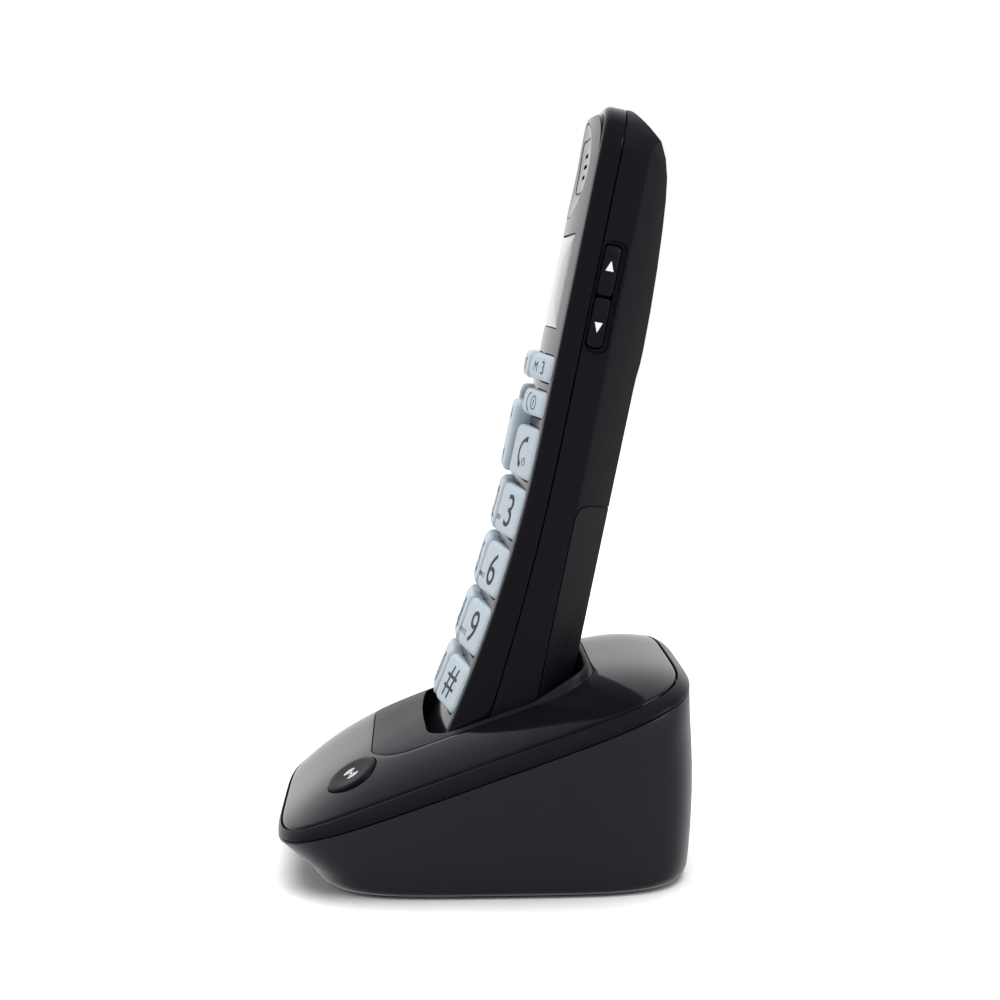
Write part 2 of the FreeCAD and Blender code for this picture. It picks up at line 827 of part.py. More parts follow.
def build_handset_inside():
    """Display, sound, board, battery and small metal parts of the handset."""
    tray_back = -size.face_depth + size.faceplate_thickness + 0.1 + size.tray_thickness + 0.05
    window_middle = size.window_level + size.window_height / 2
    panel = centred_block(
        "lcd_panel_box",
        ("dims.lcd_width", "dims.lcd_thickness", "dims.lcd_height"),
        (0, tray_back + size.lcd_thickness / 2, window_middle),
        DOCKED,
    )
    node(panel, "lcd_panel")
    light_middle = tray_back + size.lcd_thickness + 0.05 + size.backlight_thickness / 2
    light = centred_block(
        "backlight_box",
        ("dims.lcd_width", "dims.backlight_thickness", "dims.lcd_height"),
        (0, light_middle, window_middle),
        DOCKED,
    )
    node(light, "lcd_backlight")
    frame_depth = size.lcd_thickness + size.backlight_thickness + 0.1
    border = " + 2 * dims.lcd_border"
    frame_outer = centred_block(
        "lcd_frame_outer",
        ("dims.lcd_width" + border, frame_depth, "dims.lcd_height" + border),
        (0, tray_back + frame_depth / 2, window_middle),
    )
    frame_inner = centred_block(
        "lcd_frame_inner",
        ("dims.lcd_width + 0.2", 3 * frame_depth, "dims.lcd_height + 0.2"),
        (0, tray_back + frame_depth / 2, window_middle),
    )
    node(cut("lcd_frame_cut", frame_outer, [frame_inner]), "lcd_frame", DOCKED)

    inwards = Vector(0, 1, 0)
    receiver = rod(
        "receiver_can", "dims.receiver_radius", "dims.receiver_thickness",
        (0, tray_back, size.ear_level), inwards, DOCKED,
    )
    node(receiver, "receiver_speaker")
    ringer_front = size.back_depth - size.case_wall - size.ringer_thickness - 1.8
    ringer = rod(
        "ringer_can", "dims.ringer_radius", "dims.ringer_thickness",
        (0, ringer_front, size.ringer_level), inwards, DOCKED,
    )
    node(ringer, "ringer_speaker")
    behind_tray = size.faceplate_thickness + size.tray_thickness + 0.2
    mouth = DOCKED.multiply(face_place(0, size.handset_screw_level, behind_tray))
    microphone = rod("microphone_can", 2.4, 1.5, (0, 0, 0), inwards, mouth)
    node(microphone, "microphone")

    board = block(
        "handset_board_box",
        ("dims.board_width", "dims.board_thickness", "dims.board_top - dims.board_bottom"),
        (-size.board_width / 2, -size.board_depth, size.board_bottom),
        DOCKED,
    )
    node(board, "handset_circuit_board")

    up = Vector(0, 0, 1)
    bridge = (0, size.cell_depth, size.cell_bottom - 0.35)
    plates = [centred_block("contact_bridge", (size.cell_spacing + 8, 8.0, 0.5), bridge)]
    cells = []
    pads = []
    for side in (-1, 1):
        x = side * size.cell_spacing / 2
        foot = (x, size.cell_depth, size.cell_bottom)
        can = rod(f"cell_can_{side}", "dims.cell_radius", "dims.cell_length - 1", foot, up)
        tip = (x, size.cell_depth, size.cell_bottom + size.cell_length - 1)
        button = rod(f"cell_tip_{side}", 1.9, 1.0, tip, up)
        cells.append(fuse(f"cell_{side}", [can, button]))
        plate = (x, size.cell_depth, size.cell_bottom + size.cell_length + 0.35)
        plates.append(centred_block(f"contact_top_{side}", (8.0, 8.0, 0.5), plate))
        pad = (side * size.contact_spacing / 2, size.contact_depth, 0.9)
        pads.append(centred_block(f"charge_pad_{side}", (4.0, 3.0, 1.6), pad))
    node(group("cells_pair", cells), "battery_cells", DOCKED)
    node(group("battery_plates", plates), "battery_contacts", DOCKED)
    node(group("charge_pads", pads), "handset_charge_contacts", DOCKED)

    screws = []
    for side in (-1, 1):
        x = side * size.handset_screw_x
        seat = (x, -size.tray_depth + 0.05, size.handset_screw_level)
        head = rod(f"case_head_{side}", "dims.case_head_radius", 1.2, seat, inwards)
        shaft = rod(f"case_shaft_{side}", "dims.case_screw_radius", 7.0, seat, Vector(0, -1, 0))
        screws.append(fuse(f"case_screw_{side}", [head, shaft]))
    node(group("case_screws", screws), "handset_screws", DOCKED)


def build_volume_keys():
    """The two keys on the side of the case and the switches behind them."""
    switches = []
    half_step = (size.volume_length + size.volume_split) / 2
    quarter = Rotation(Vector(0, 0, 1), 90)
    for label, side in (("volume_up_key", 1), ("volume_down_key", -1)):
        level = size.volume_level + side * half_step
        body = slab_body(
            label, "dims.volume_width", "dims.volume_length", "dims.volume_corner",
            "dims.volume_thickness",
        )
        inner = size.handset_width / 2 + size.volume_proud - size.volume_thickness
        seat = Placement(Vector(inner, -size.volume_depth, level), quarter)
        node(body, label, DOCKED.multiply(seat))
        centre = (inner - size.volume_travel - 0.3 - 1.2, -size.volume_depth, level)
        switches.append(centred_block(f"switch_{side}", (2.4, 3.4, 5.0), centre))
    node(group("volume_switch_pair", switches), "volume_switches", DOCKED)


# ---------------------------------------------------------------- base


def screw_places():
    """Where the base's four screws stand."""
    rows = (-size.base_screw_front, size.base_screw_back)
    return [(side * size.base_screw_x, y) for side in (-1, 1) for y in rows]


def foot_places():
    """Where the four rubber feet are, inside the corners of the floor."""
    return [
        (side * (size.floor_half_width - 9.5), y)
        for side in (-1, 1)
        for y in (-size.floor_front + 11.0, size.floor_back - 10.0)
    ]


def socket_hole_low(side, margin):
    """Lowest corner of a socket block, or of its hole in the wall when given a margin."""
    x = side * size.socket_spacing / 2 - size.socket_width / 2 - margin
    level = size.base_board_level + size.board_thickness + 0.1 - margin
    return x, size.socket_face - size.socket_depth, level


def page_place():
    """Frame at the page button: its z axis points out of the cover."""
    x, y = size.page_x, -size.page_y
    point = Vector(x, y, crown_height(x, y))
    return Placement(point, Rotation(Vector(0, 0, 1), crown_normal(x, y)))


def page_switch_top():
    """Top of the page switch, measured along the button's axis from the cover."""
    return PAGE_PROUD - size.page_cap - size.page_stem - size.page_travel - 0.3


def build_housing():
    """The tub, with screw wells, board posts, socket holes and foot recesses."""
    outer = shaped("tub_outer", Part.makeLoft(tub_wires(0, 0), True, True))
    inner_wires = tub_wires(size.base_wall, size.base_wall) + [seam_oval(size.base_wall, 5)]
    inner = shaped("tub_inner", Part.makeLoft(inner_wires, True, True))
    shell = cut("tub_shell", outer, [inner])
    up = Vector(0, 0, 1)
    posts = []
    holes = []
    for index, (x, y) in enumerate(screw_places()):
        foot = (x, y, size.floor_level)
        height = size.well_top - size.floor_level
        posts.append(rod(f"well_{index}", "dims.well_radius", height, foot, up))
        holes.append(rod(f"well_bore_{index}", "dims.screw_radius + 0.2", 20.0, (x, y, -1), up))
        holes.append(rod(f"well_counter_{index}", "dims.screw_head_radius + 0.3", 7.0, (x, y, -1), up))
    for index, (x, y) in enumerate(foot_places()):
        depth = 1.0 + size.foot_recess
        low = (x, y, size.floor_level - 1.0)
        holes.append(rod(f"foot_recess_{index}", "dims.foot_radius + 0.1", depth, low, up))
    board_ends = (-size.base_board_front + 4, size.base_board_back - 16)
    post_foot = size.floor_level + 1
    for side in (-1, 1):
        for end, y in enumerate(board_ends):
            height = size.base_board_level - post_foot
            posts.append(rod(f"board_post_{side}_{end}", 2.0, height, (side * 24.0, y, post_foot), up))
    card_under = page_switch_top() - SWITCH_HEIGHT - CARD_THICKNESS
    head = page_place().multVec(Vector(0, 0, card_under - 2.0))
    posts.append(rod("page_post", 3.0, head.z - post_foot, (head.x, head.y, post_foot), up))
    trimmed = common("tub_posts", [fuse("tub_post_set", posts), outer])
    joined = fuse("tub_joined", [shell, trimmed])
    margin = size.panel_gap
    for side in (LINE_SOCKET_SIDE, POWER_SOCKET_SIDE):
        lengths = (size.socket_width + 2 * margin, 30.0, size.socket_height + 2 * margin)
        holes.append(block(f"socket_hole_{side}", lengths, socket_hole_low(side, margin)))
    node(cut("base_housing_cut", joined, holes), "base_housing")


def build_rim():
    """The band between tub and cover, with a ledge for the cover and four screw bosses."""
    inset = size.rim_inset - 0.25
    outlines = [seam_oval(0, 0.05), seam_oval(inset, size.rim_rise)]
    ring = shaped("rim_outer", Part.makeLoft(outlines, True, True))
    ledge_level = size.rim_rise - size.cover_thickness
    above = size.rim_rise + 5
    hole = shaped("rim_hole", seam_prism(size.rim_inset + size.ledge_width, -5, above))
    edge_inset = size.rim_inset - size.panel_gap
    rebate = shaped("rim_rebate", seam_prism(edge_inset, ledge_level - 0.1, above))
    ring = cut("rim_ring", ring, [hole, rebate])
    up = Vector(0, 0, 1)
    bosses = []
    bores = []
    bore = "dims.screw_radius + 0.05"
    for index, (x, y) in enumerate(screw_places()):
        start = size.well_top + 0.1
        top = size.seam_height + size.seam_slope * (y - size.boss_radius) + ledge_level - 0.1
        bosses.append(rod(f"boss_{index}", "dims.boss_radius", top - start, (x, y, start), up))
        bores.append(rod(f"boss_bore_{index}", bore, 9.0, (x, y, start - 1), up))
    node(cut("base_rim_cut", fuse("rim_joined", [ring] + bosses), bores), "base_rim")


def insert_prism(name, gap):
    """Plan outline of the cradle insert, this much smaller, as an upright prism."""
    depth = "dims.insert_front + dims.insert_back"
    body = slab_body(
        name,
        f"2 * dims.insert_half_width - {2 * gap}",
        f"{depth} - {2 * gap}",
        f"dims.insert_corner - {gap}",
        str(2 * FAR),
        "XY_Plane",
    )
    middle = (size.insert_back - size.insert_front) / 2
    body.Placement = Placement(Vector(0, middle, -20), Rotation())
    return body


def pocket_prism(name, margin, low, high):
    """The slanted pocket of the cradle along the docked handset's own length."""
    front = size.pocket_front + margin
    back = size.back_depth + size.pocket_clearance + margin
    width = f"dims.handset_width + 2 * dims.pocket_clearance + {2 * margin}"
    corner = f"dims.pocket_corner + {margin}"
    body = slab_body(name, width, str(front + back), corner, str(high - low), "XY_Plane")
    axis_start = lean.multVec(Vector(0, (back - front) / 2, low))
    body.Placement = Placement(axis_start, lean)
    return body


def build_cover_and_insert():
    """The crowned glossy cover and the matt insert with the cradle pocket."""
    page_bore = "dims.page_radius + dims.button_clearance"
    page_hole = rod("page_hole", page_bore, 30.0, (0, 0, -15), Vector(0, 0, 1), page_place())
    cover_form = common(
        "cover_form",
        [
            shaped("cover_sheet", crowned_block(size.cover_thickness)),
            shaped("cover_edge", seam_prism(size.rim_inset, -30, 40)),
        ],
    )
    insert_hole = insert_prism("insert_hole", 0)
    node(cut("base_cover_cut", cover_form, [insert_hole, page_hole]), "base_cover")

    floor = size.dock_distance - size.dock_gap
    sheet_form = shaped("insert_sheet", crowned_block(size.insert_thickness))
    panel = common("insert_panel", [sheet_form, insert_prism("insert_edge", size.panel_gap)])
    tube = common(
        "insert_tube",
        [
            pocket_prism("tube_outer", size.cradle_wall, floor - size.cradle_wall, floor + 60),
            shaped("under_cover", crowned_block(size.seam_height + size.crown_rise)),
        ],
    )
    collar_base = size.dock_distance + 20
    collar_low = (-FAR, size.back_depth - 6, 0)
    leaning = Placement(Vector(), lean)
    collar = common(
        "collar_form",
        [
            pocket_prism("collar_outer", size.cradle_wall, collar_base, size.collar_top),
            block("collar_side", (2 * FAR, FAR, 2 * FAR), collar_low, leaning),
        ],
    )
    solid = fuse("insert_joined", [panel, tube, collar])
    cuts = [pocket_prism("pocket", 0, floor, floor + 80)]
    docked_floor = Placement(lean.multVec(Vector(0, 0, floor)), lean)
    for side in (-1, 1):
        lengths = (size.spring_width + 0.6, size.spring_thickness + 0.6, 8.0)
        centre = (side * size.contact_spacing / 2, size.contact_depth, 0)
        cuts.append(centred_block(f"spring_slot_{side}", lengths, centre, docked_floor))
    node(cut("cradle_insert_cut", solid, cuts), "cradle_insert")


def build_base_inside():
    """Page button and switch, board, sockets, charge springs, screws and feet."""
    up = Vector(0, 0, 1)
    frame = page_place()
    cap_low = (0, 0, PAGE_PROUD - size.page_cap)
    cap = rod("page_cap_disc", "dims.page_radius", "dims.page_cap", cap_low, up, frame)
    stem_low = (0, 0, PAGE_PROUD - size.page_cap - size.page_stem)
    stem_length = "dims.page_stem + 0.5"
    stem = rod("page_stem_rod", "dims.page_stem_radius", stem_length, stem_low, up, frame)
    node(fuse("page_button_form", [cap, stem]), "page_button")
    top = page_switch_top()
    body_middle = (0, 0, top - SWITCH_HEIGHT / 2)
    switch = centred_block("page_switch_body", (6.0, 6.0, SWITCH_HEIGHT + 0.2), body_middle, frame)
    card_middle = (0, 0, top - SWITCH_HEIGHT - CARD_THICKNESS / 2)
    card = centred_block("page_switch_card", (12.0, 10.0, CARD_THICKNESS), card_middle, frame)
    node(fuse("page_switch_form", [switch, card]), "page_switch")

    board = block(
        "base_board_box",
        (
            "2 * dims.base_board_half_width",
            "dims.base_board_front + dims.base_board_back",
            "dims.board_thickness",
        ),
        (-size.base_board_half_width, -size.base_board_front, size.base_board_level + 0.05),
    )
    node(board, "base_circuit_board")

    for label, side in (("line_socket", LINE_SOCKET_SIDE), ("power_socket", POWER_SOCKET_SIDE)):
        body = block(
            label + "_block",
            ("dims.socket_width", "dims.socket_depth", "dims.socket_height"),
            socket_hole_low(side, 0),
        )
        low_x, low_y, low_z = socket_hole_low(side, 0)
        mouth = block(
            label + "_mouth",
            ("dims.plug_width", "dims.plug_depth + 5", "dims.plug_height"),
            (
                low_x + (size.socket_width - size.plug_width) / 2,
                size.socket_face - size.plug_depth,
                low_z + (size.socket_height - size.plug_height) / 2,
            ),
        )
        node(cut(label + "_cut", body, [mouth]), label)

    docked_floor = Placement(lean.multVec(Vector(0, 0, size.dock_distance)), lean)
    springs = []
    for side in (-1, 1):
        centre = (side * size.contact_spacing / 2, size.contact_depth, -0.4 - size.spring_length / 2)
        lengths = ("dims.spring_width", "dims.spring_thickness", "dims.spring_length")
        springs.append(centred_block(f"spring_{side}", lengths, centre, docked_floor))
    node(group("spring_pair", springs), "charge_springs")

    screws = []
    for index, (x, y) in enumerate(screw_places()):
        head = rod(f"base_head_{index}", "dims.screw_head_radius", 2.0, (x, y, 3.95), up)
        shaft = rod(f"base_shaft_{index}", "dims.screw_radius", 11.0, (x, y, 5.0), up)
        screws.append(fuse(f"base_screw_{index}", [head, shaft]))
    node(group("base_screw_set", screws), "base_screws")
    feet = [
        rod(f"foot_{index}", "dims.foot_radius", "dims.foot_height - 0.02", (x, y, 0), up)
        for index, (x, y) in enumerate(foot_places())
    ]
    node(group("feet_set", feet), "rubber_feet")


# ---------------------------------------------------------------- build and write

holes = add_keys()
build_front(holes)
build_rear()
build_handset_inside()
build_volume_keys()
build_housing()
build_rim()
build_cover_and_insert()
build_base_inside()
doc.recompute()

failed = [obj.Name for obj in doc.Objects if {"Invalid", "Error"} & set(obj.State)]
if failed:
    raise RuntimeError(f"objects that did not build: {failed}")
for part in nodes:
    if part.Shape.isNull() or not part.Shape.isValid() or not part.Shape.Solids:
        raise RuntimeError(f"{part.Label} has no valid solid")

os.makedirs("parts", exist_ok=True)
for part in nodes:
    part.Shape.exportStep(os.path.join("parts", part.Label + ".step"))
print(len(nodes), "sub-parts written")
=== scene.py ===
import math
from functools import partial

import bmesh
import bpy
from mathutils import Matrix, Vector


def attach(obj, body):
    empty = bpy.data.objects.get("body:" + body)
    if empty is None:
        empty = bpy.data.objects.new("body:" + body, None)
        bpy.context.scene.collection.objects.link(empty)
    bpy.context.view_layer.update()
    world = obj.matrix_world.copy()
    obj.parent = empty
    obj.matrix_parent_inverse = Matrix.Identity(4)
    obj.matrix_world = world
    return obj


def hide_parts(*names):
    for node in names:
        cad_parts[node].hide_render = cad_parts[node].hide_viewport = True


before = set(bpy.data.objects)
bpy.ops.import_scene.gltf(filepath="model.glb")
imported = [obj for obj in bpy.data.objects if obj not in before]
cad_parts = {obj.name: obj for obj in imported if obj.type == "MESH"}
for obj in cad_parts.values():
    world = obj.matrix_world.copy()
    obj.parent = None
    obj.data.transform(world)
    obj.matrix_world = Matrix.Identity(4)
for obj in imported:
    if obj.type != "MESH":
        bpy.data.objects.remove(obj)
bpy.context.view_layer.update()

# Pieces are drawn in millimetres. Base pieces stand in the base's own frame, handset pieces
# upright with their lower end at z = 0 and the face towards -Y. settle() then brings each to
# metres and to its place.

MM = Matrix.Scale(0.001, 4)
LEAN = math.radians(-11.5)
DOCK = 20.0
STANDING = Matrix.Rotation(LEAN, 4, "X") @ Matrix.Translation((0, 0, DOCK))

ROUND = 160  # points round each outline of the base
SEAM_LEVEL, SEAM_SLOPE = 29.0, 0.355
HALF_WIDE, HALF_DEEP, SQUARENESS = 45.5, 50.1, 4.4
COVER_WIDE, COVER_DEEP, CROWN, FULLNESS = 42.1, 46.7, 8.6, 0.75

CASE_HALF, CASE_LONG, CASE_CORNER = 26.0, 166.6, 13.0
FACE, BEND, BEND_RADIUS = -8.35, 87.0, 350.0
SEAM, SEAM_RADIUS = -3.2, 650.0
PLATE_HALF, PLATE_CROWN = 23.8, 2.0

RIM_RISE = 4.1
PAGE_SPOT = (27.0, -31.7)
POCKET_HALF, POCKET_LONG, POCKET_CORNER, POCKET_SHIFT = 26.8, 17.45, 6.0, 4.15
SOCKET_X, SOCKET_Z = 14.0, 14.5
WINDOW_HALF_U, WINDOW_HALF_V, WINDOW_LEVEL = 18.0, 11.55, 124.25
EAR_LEVEL, EAR_HALF_U, EAR_HALF_V = 151.3, 17.0, 11.6
GRILLE_LEVEL = 152.7
KEY_HALF, KEY_PITCH, KEY_CORNER, KEY_ROOT = 7.3, 15.6, 2.2, 1.9
DIGIT_LEVEL, DIGIT_PITCH, DIGIT_TALL = 23.3, 14.8, 6.2
MEMORY_LEVEL, FUNCTION_LEVEL, SMALL_TALL = 103.1, 94.5, 3.2
CALL_LEVEL, CALL_TALL = 82.4, 6.35
NAVIGATION_LEVEL, NAVIGATION_TALL = 85.1, 8.7
VOLUME_LEVEL, VOLUME_SHIFT, VOLUME_FACE = 122.3, -0.5, 26.71
LETTER_THICKNESS = 0.05  # from the middle of a sign to either side, halved as it is laid down
COLUMNS = (-1, 0, 1)


# ---- hand work


def hold(*pieces):
    """Selects only these pieces, the first one active."""
    bpy.ops.object.select_all(action="DESELECT")
    for piece in pieces:
        piece.select_set(True)
    bpy.context.view_layer.objects.active = pieces[0]


def finish_with(piece, kind, **settings):
    """Adds a modifier and applies it."""
    hold(piece)
    step = piece.modifiers.new(kind.title(), kind)
    for name, value in settings.items():
        setattr(step, name, value)
    bpy.ops.object.modifier_apply(modifier=step.name)


def carve(piece, tool, how="DIFFERENCE"):
    """Cuts a piece with a tool, or keeps what they share, and throws the tool away."""
    finish_with(piece, "BOOLEAN", operation=how, object=tool, solver="EXACT")
    bpy.data.objects.remove(tool)


def soften(piece, width, segments, angle):
    """Rounds the edges that are sharper than an angle."""
    finish_with(
        piece, "BEVEL", width=width, segments=segments, limit_method="ANGLE",
        angle_limit=math.radians(angle), harden_normals=False, use_clamp_overlap=True,
    )


def pick(piece, chosen):
    """In edit mode, selects the vertices whose numbers are given."""
    mesh = bmesh.from_edit_mesh(piece.data)
    mesh.verts.ensure_lookup_table()
    for vertex in mesh.verts:
        vertex.select_set(False)
    mesh.select_flush(False)
    for number in chosen:
        mesh.verts[number].select_set(True)
    mesh.select_flush(True)
    bmesh.update_edit_mesh(piece.data)


def close_end(piece, chosen, end):
    """Closes one end of a skin with a face or by drawing it to a point."""
    pick(piece, chosen)
    if end == "face":
        bpy.ops.mesh.edge_face_add()
    else:
        bpy.ops.mesh.merge(type="CENTER")


def skin(name, rings, first="face", last="face", loop=False):
    """A skin drawn from ring to ring by extruding its open edge."""
    count = len(rings[0])
    bpy.ops.object.select_all(action="DESELECT")
    bpy.ops.mesh.primitive_circle_add(vertices=count, radius=1.0)
    piece = bpy.context.object
    piece.name = name
    bpy.ops.object.mode_set(mode="EDIT")
    bpy.ops.mesh.select_mode(type="VERT")
    slots = list(range(count))
    for step, ring in enumerate(rings):
        mesh = bmesh.from_edit_mesh(piece.data)
        if step:
            bpy.ops.mesh.extrude_region_move()
            mesh = bmesh.from_edit_mesh(piece.data)
            mesh.verts.ensure_lookup_table()
            before = {number: place for place, number in enumerate(slots)}
            fresh = [0] * count
            for vertex in mesh.verts[len(mesh.verts) - count:]:
                for edge in vertex.link_edges:
                    old = edge.other_vert(vertex).index
                    if old in before:
                        fresh[before[old]] = vertex.index
            slots = fresh
        mesh.verts.ensure_lookup_table()
        for number, point in zip(slots, ring):
            mesh.verts[number].co = point
        bmesh.update_edit_mesh(piece.data)
    if loop:
        bpy.ops.mesh.select_all(action="SELECT")
        bpy.ops.mesh.remove_doubles(threshold=0.0005)
    elif last == "point" and first == "point":
        close_end(piece, slots, "point")
        close_end(piece, list(range(count)), "point")
    else:
        close_end(piece, slots, last)
        close_end(piece, list(range(count)), first)
    bpy.ops.mesh.select_all(action="SELECT")
    bpy.ops.mesh.normals_make_consistent(inside=False)
    bpy.ops.object.mode_set(mode="OBJECT")
    return piece


def prism(name, outline, axis, low, high):
    """A straight prism of a flat outline (pairs) along an axis."""
    order = {"X": (2, 0, 1), "Y": (0, 2, 1), "Z": (0, 1, 2)}[axis]
    rings = []
    for level in (low, high):
        rings.append([Vector([(u, v, level)[k] for k in order]) for u, v in outline])
    return skin(name, rings)


def rounded(half_u, half_v, corner, steps=6, middle=(0.0, 0.0)):
    """Outline of a rectangle with round corners, as pairs."""
    pairs = []
    for quarter, (side_u, side_v) in enumerate(((1, 1), (-1, 1), (-1, -1), (1, -1))):
        for step in range(steps + 1):
            turn = math.pi / 2 * (quarter + step / steps)
            u = middle[0] + side_u * (half_u - corner) + corner * math.cos(turn)
            v = middle[1] + side_v * (half_v - corner) + corner * math.sin(turn)
            pairs.append((u, v))
    return pairs


def disc_rings(profile, points):
    """Round rings from pairs of radius and level."""
    return [
        [Vector((radius * math.cos(t), radius * math.sin(t), level)) for t in points]
        for radius, level in profile
    ]


def join(pieces):
    """Joins pieces into the first one."""
    hold(*pieces)
    bpy.ops.object.join()
    return pieces[0]


def copy_of(piece, name):
    """A copy with its own mesh."""
    twin = piece.copy()
    twin.data = piece.data.copy()
    twin.name = name
    bpy.context.collection.objects.link(twin)
    return twin


def settle(piece, name, body, material, stands_for=(), place=Matrix(), smooth=32.0):
    """Brings a finished piece to metres and its place, and says what it is in the frame."""
    hold(piece)
    piece.name = name
    piece.data.name = name
    piece.matrix_world = MM @ place
    bpy.ops.object.transform_apply(location=True, rotation=True, scale=True)
    bpy.ops.object.shade_smooth_by_angle(angle=math.radians(smooth))
    if not piece.data.materials:
        piece.data.materials.append(material)
    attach(piece, body)
    if stands_for:
        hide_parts(*stands_for)
    return piece


# ---- finishes


def preset(node, values):
    """Sets the constants of a node's sockets."""
    for name, value in values.items():
        node.inputs[name].default_value = value


def grained(name, colour, roughness, grain=900.0, depth=0.00002, patchy=0.08, drift=0.12,
            metallic=0.0, coat=0.0, coat_roughness=0.05, specular=0.5, wear=0.0,
            sheen_scale=60.0, gleam=(1.0, 1.0, 1.0)):
    """Plastic, rubber or metal with fine grain, uneven gloss, slow colour drift and worn edges."""
    material = bpy.data.materials.new(name)
    material.use_nodes = True
    nodes, links = material.node_tree.nodes, material.node_tree.links
    shader = nodes["Principled BSDF"]
    preset(shader, {
        "Metallic": metallic, "Coat Weight": coat, "Coat Roughness": coat_roughness,
        "Specular IOR Level": specular, "Specular Tint": (*gleam, 1),
    })
    place = nodes.new("ShaderNodeTexCoord")

    def cloud(scale, detail):
        noise = nodes.new("ShaderNodeTexNoise")
        preset(noise, {"Scale": scale, "Detail": detail})
        links.new(place.outputs["Object"], noise.inputs["Vector"])
        return noise

    def spread(source, low, high):
        scale = nodes.new("ShaderNodeMapRange")
        scale.interpolation_type = "SMOOTHSTEP"
        preset(scale, {"From Min": 0.2, "From Max": 0.8, "To Min": low, "To Max": high})
        links.new(source, scale.inputs["Value"])
        return scale.outputs["Result"]

    fine = cloud(grain, 4.0)
    broad = cloud(sheen_scale, 3.0)
    slow = cloud(14.0, 2.0)
    gloss = spread(broad.outputs["Fac"], roughness * (1 - patchy), roughness * (1 + patchy))
    links.new(gloss, shader.inputs["Roughness"])
    mix = nodes.new("ShaderNodeMix")
    mix.data_type = "RGBA"
    preset(mix, {
        "A": (*[c * (1 - drift) for c in colour], 1),
        "B": (*[min(c * (1 + drift), 1) for c in colour], 1),
    })
    links.new(spread(slow.outputs["Fac"], 0.0, 1.0), mix.inputs["Factor"])
    tint = mix.outputs["Result"]
    if wear:
        shape = nodes.new("ShaderNodeNewGeometry")
        edge = nodes.new("ShaderNodeMapRange")
        preset(edge, {"From Min": 0.52, "From Max": 0.60, "To Max": wear})
        links.new(shape.outputs["Pointiness"], edge.inputs["Value"])
        worn = nodes.new("ShaderNodeMix")
        worn.data_type = "RGBA"
        preset(worn, {"B": (*[min(c * 1.6 + 0.04, 1) for c in colour], 1)})
        links.new(edge.outputs["Result"], worn.inputs["Factor"])
        links.new(tint, worn.inputs["A"])
        tint = worn.outputs["Result"]
    links.new(tint, shader.inputs["Base Color"])
    bump = nodes.new("ShaderNodeBump")
    preset(bump, {"Strength": 1.0, "Distance": depth})
    links.new(fine.outputs["Fac"], bump.inputs["Height"])
    links.new(bump.outputs["Normal"], shader.inputs["Normal"])
    return material


def clear_plastic(name, tint, roughness):
    """Clear moulded window."""
    material = grained(name, tint, roughness, 400.0, 0.000002, drift=0.01)
    preset(material.node_tree.nodes["Principled BSDF"], {
        "Transmission Weight": 1.0, "IOR": 1.46, "Coat Weight": 1.0, "Coat Roughness": 0.02,
    })
    return material


def circuit_board(name):
    """Green board with darker tracks."""
    material = grained(name, (0.02, 0.12, 0.05), 0.35, 2500.0, 0.00001)
    nodes, links = material.node_tree.nodes, material.node_tree.links
    place = nodes.new("ShaderNodeTexCoord")
    tracks = nodes.new("ShaderNodeTexBrick")
    preset(tracks, {
        "Scale": 260.0, "Color1": (0.02, 0.14, 0.06, 1), "Color2": (0.015, 0.10, 0.045, 1),
        "Mortar": (0.03, 0.22, 0.09, 1), "Mortar Size": 0.03,
    })
    links.new(place.outputs["Object"], tracks.inputs["Vector"])
    links.new(tracks.outputs["Color"], nodes["Principled BSDF"].inputs["Base Color"])
    return material


def dark(*looks, **more):
    """Dark plastic with a cool gleam."""
    return grained(*looks, gleam=(0.93, 0.90, 1.0), **more)


GLOSS_BLACK = dark(
    "gloss black case", (0.005, 0.0045, 0.007), 0.08, 220.0, 0.0000015,
    patchy=0.35, drift=0.1, sheen_scale=90.0, specular=0.45,
)
PANEL_BLACK = dark(
    "gloss black panel", (0.008, 0.0075, 0.010), 0.13, 260.0, 0.000002,
    patchy=0.3, drift=0.1, sheen_scale=70.0,
)
SATIN_BLACK = dark(
    "satin black case", (0.0045, 0.004, 0.0065), 0.27, 1500.0, 0.000006,
    patchy=0.12, drift=0.12, specular=0.26, wear=0.1,
)
TEXTURED_BLACK = dark(
    "fine textured black", (0.006, 0.0055, 0.0085), 0.42, 2600.0, 0.00002,
    patchy=0.08, drift=0.08, specular=0.35, wear=0.1,
)
INSERT_GREY = dark(
    "matt dark grey", (0.011, 0.0105, 0.014), 0.44, 2200.0, 0.000015,
    patchy=0.08, drift=0.08, specular=0.42, wear=0.1,
)
KEY_GREY = grained(
    "pale blue grey keys", (0.36, 0.42, 0.47), 0.36, 1800.0, 0.000006,
    patchy=0.1, drift=0.03, coat=0.15, coat_roughness=0.25,
)
LEGEND_BLACK = grained(
    "printed black", (0.012, 0.012, 0.014), 0.45, 2600.0, 0.000004, drift=0.05,
)
LEGEND_WHITE = grained(
    "printed white", (0.82, 0.84, 0.86), 0.40, 2600.0, 0.000004, drift=0.03,
)
TUB_BLACK = dark(
    "satin black tub", (0.017, 0.0162, 0.0212), 0.30, 1500.0, 0.000006,
    patchy=0.05, drift=0.04, specular=0.4, wear=0.06,
)
RIM_BLACK = dark(
    "satin black rim", (0.0075, 0.007, 0.0098), 0.24, 1500.0, 0.000006,
    patchy=0.08, drift=0.06, specular=0.13, wear=0.08,
)
PAGE_BLACK = dark(
    "page button black", (0.006, 0.0055, 0.008), 0.30, 1800.0, 0.000008,
    patchy=0.1, drift=0.1, specular=0.12,
)
CLEAR_WINDOW = clear_plastic("clear window", (0.97, 0.98, 0.98), 0.03)
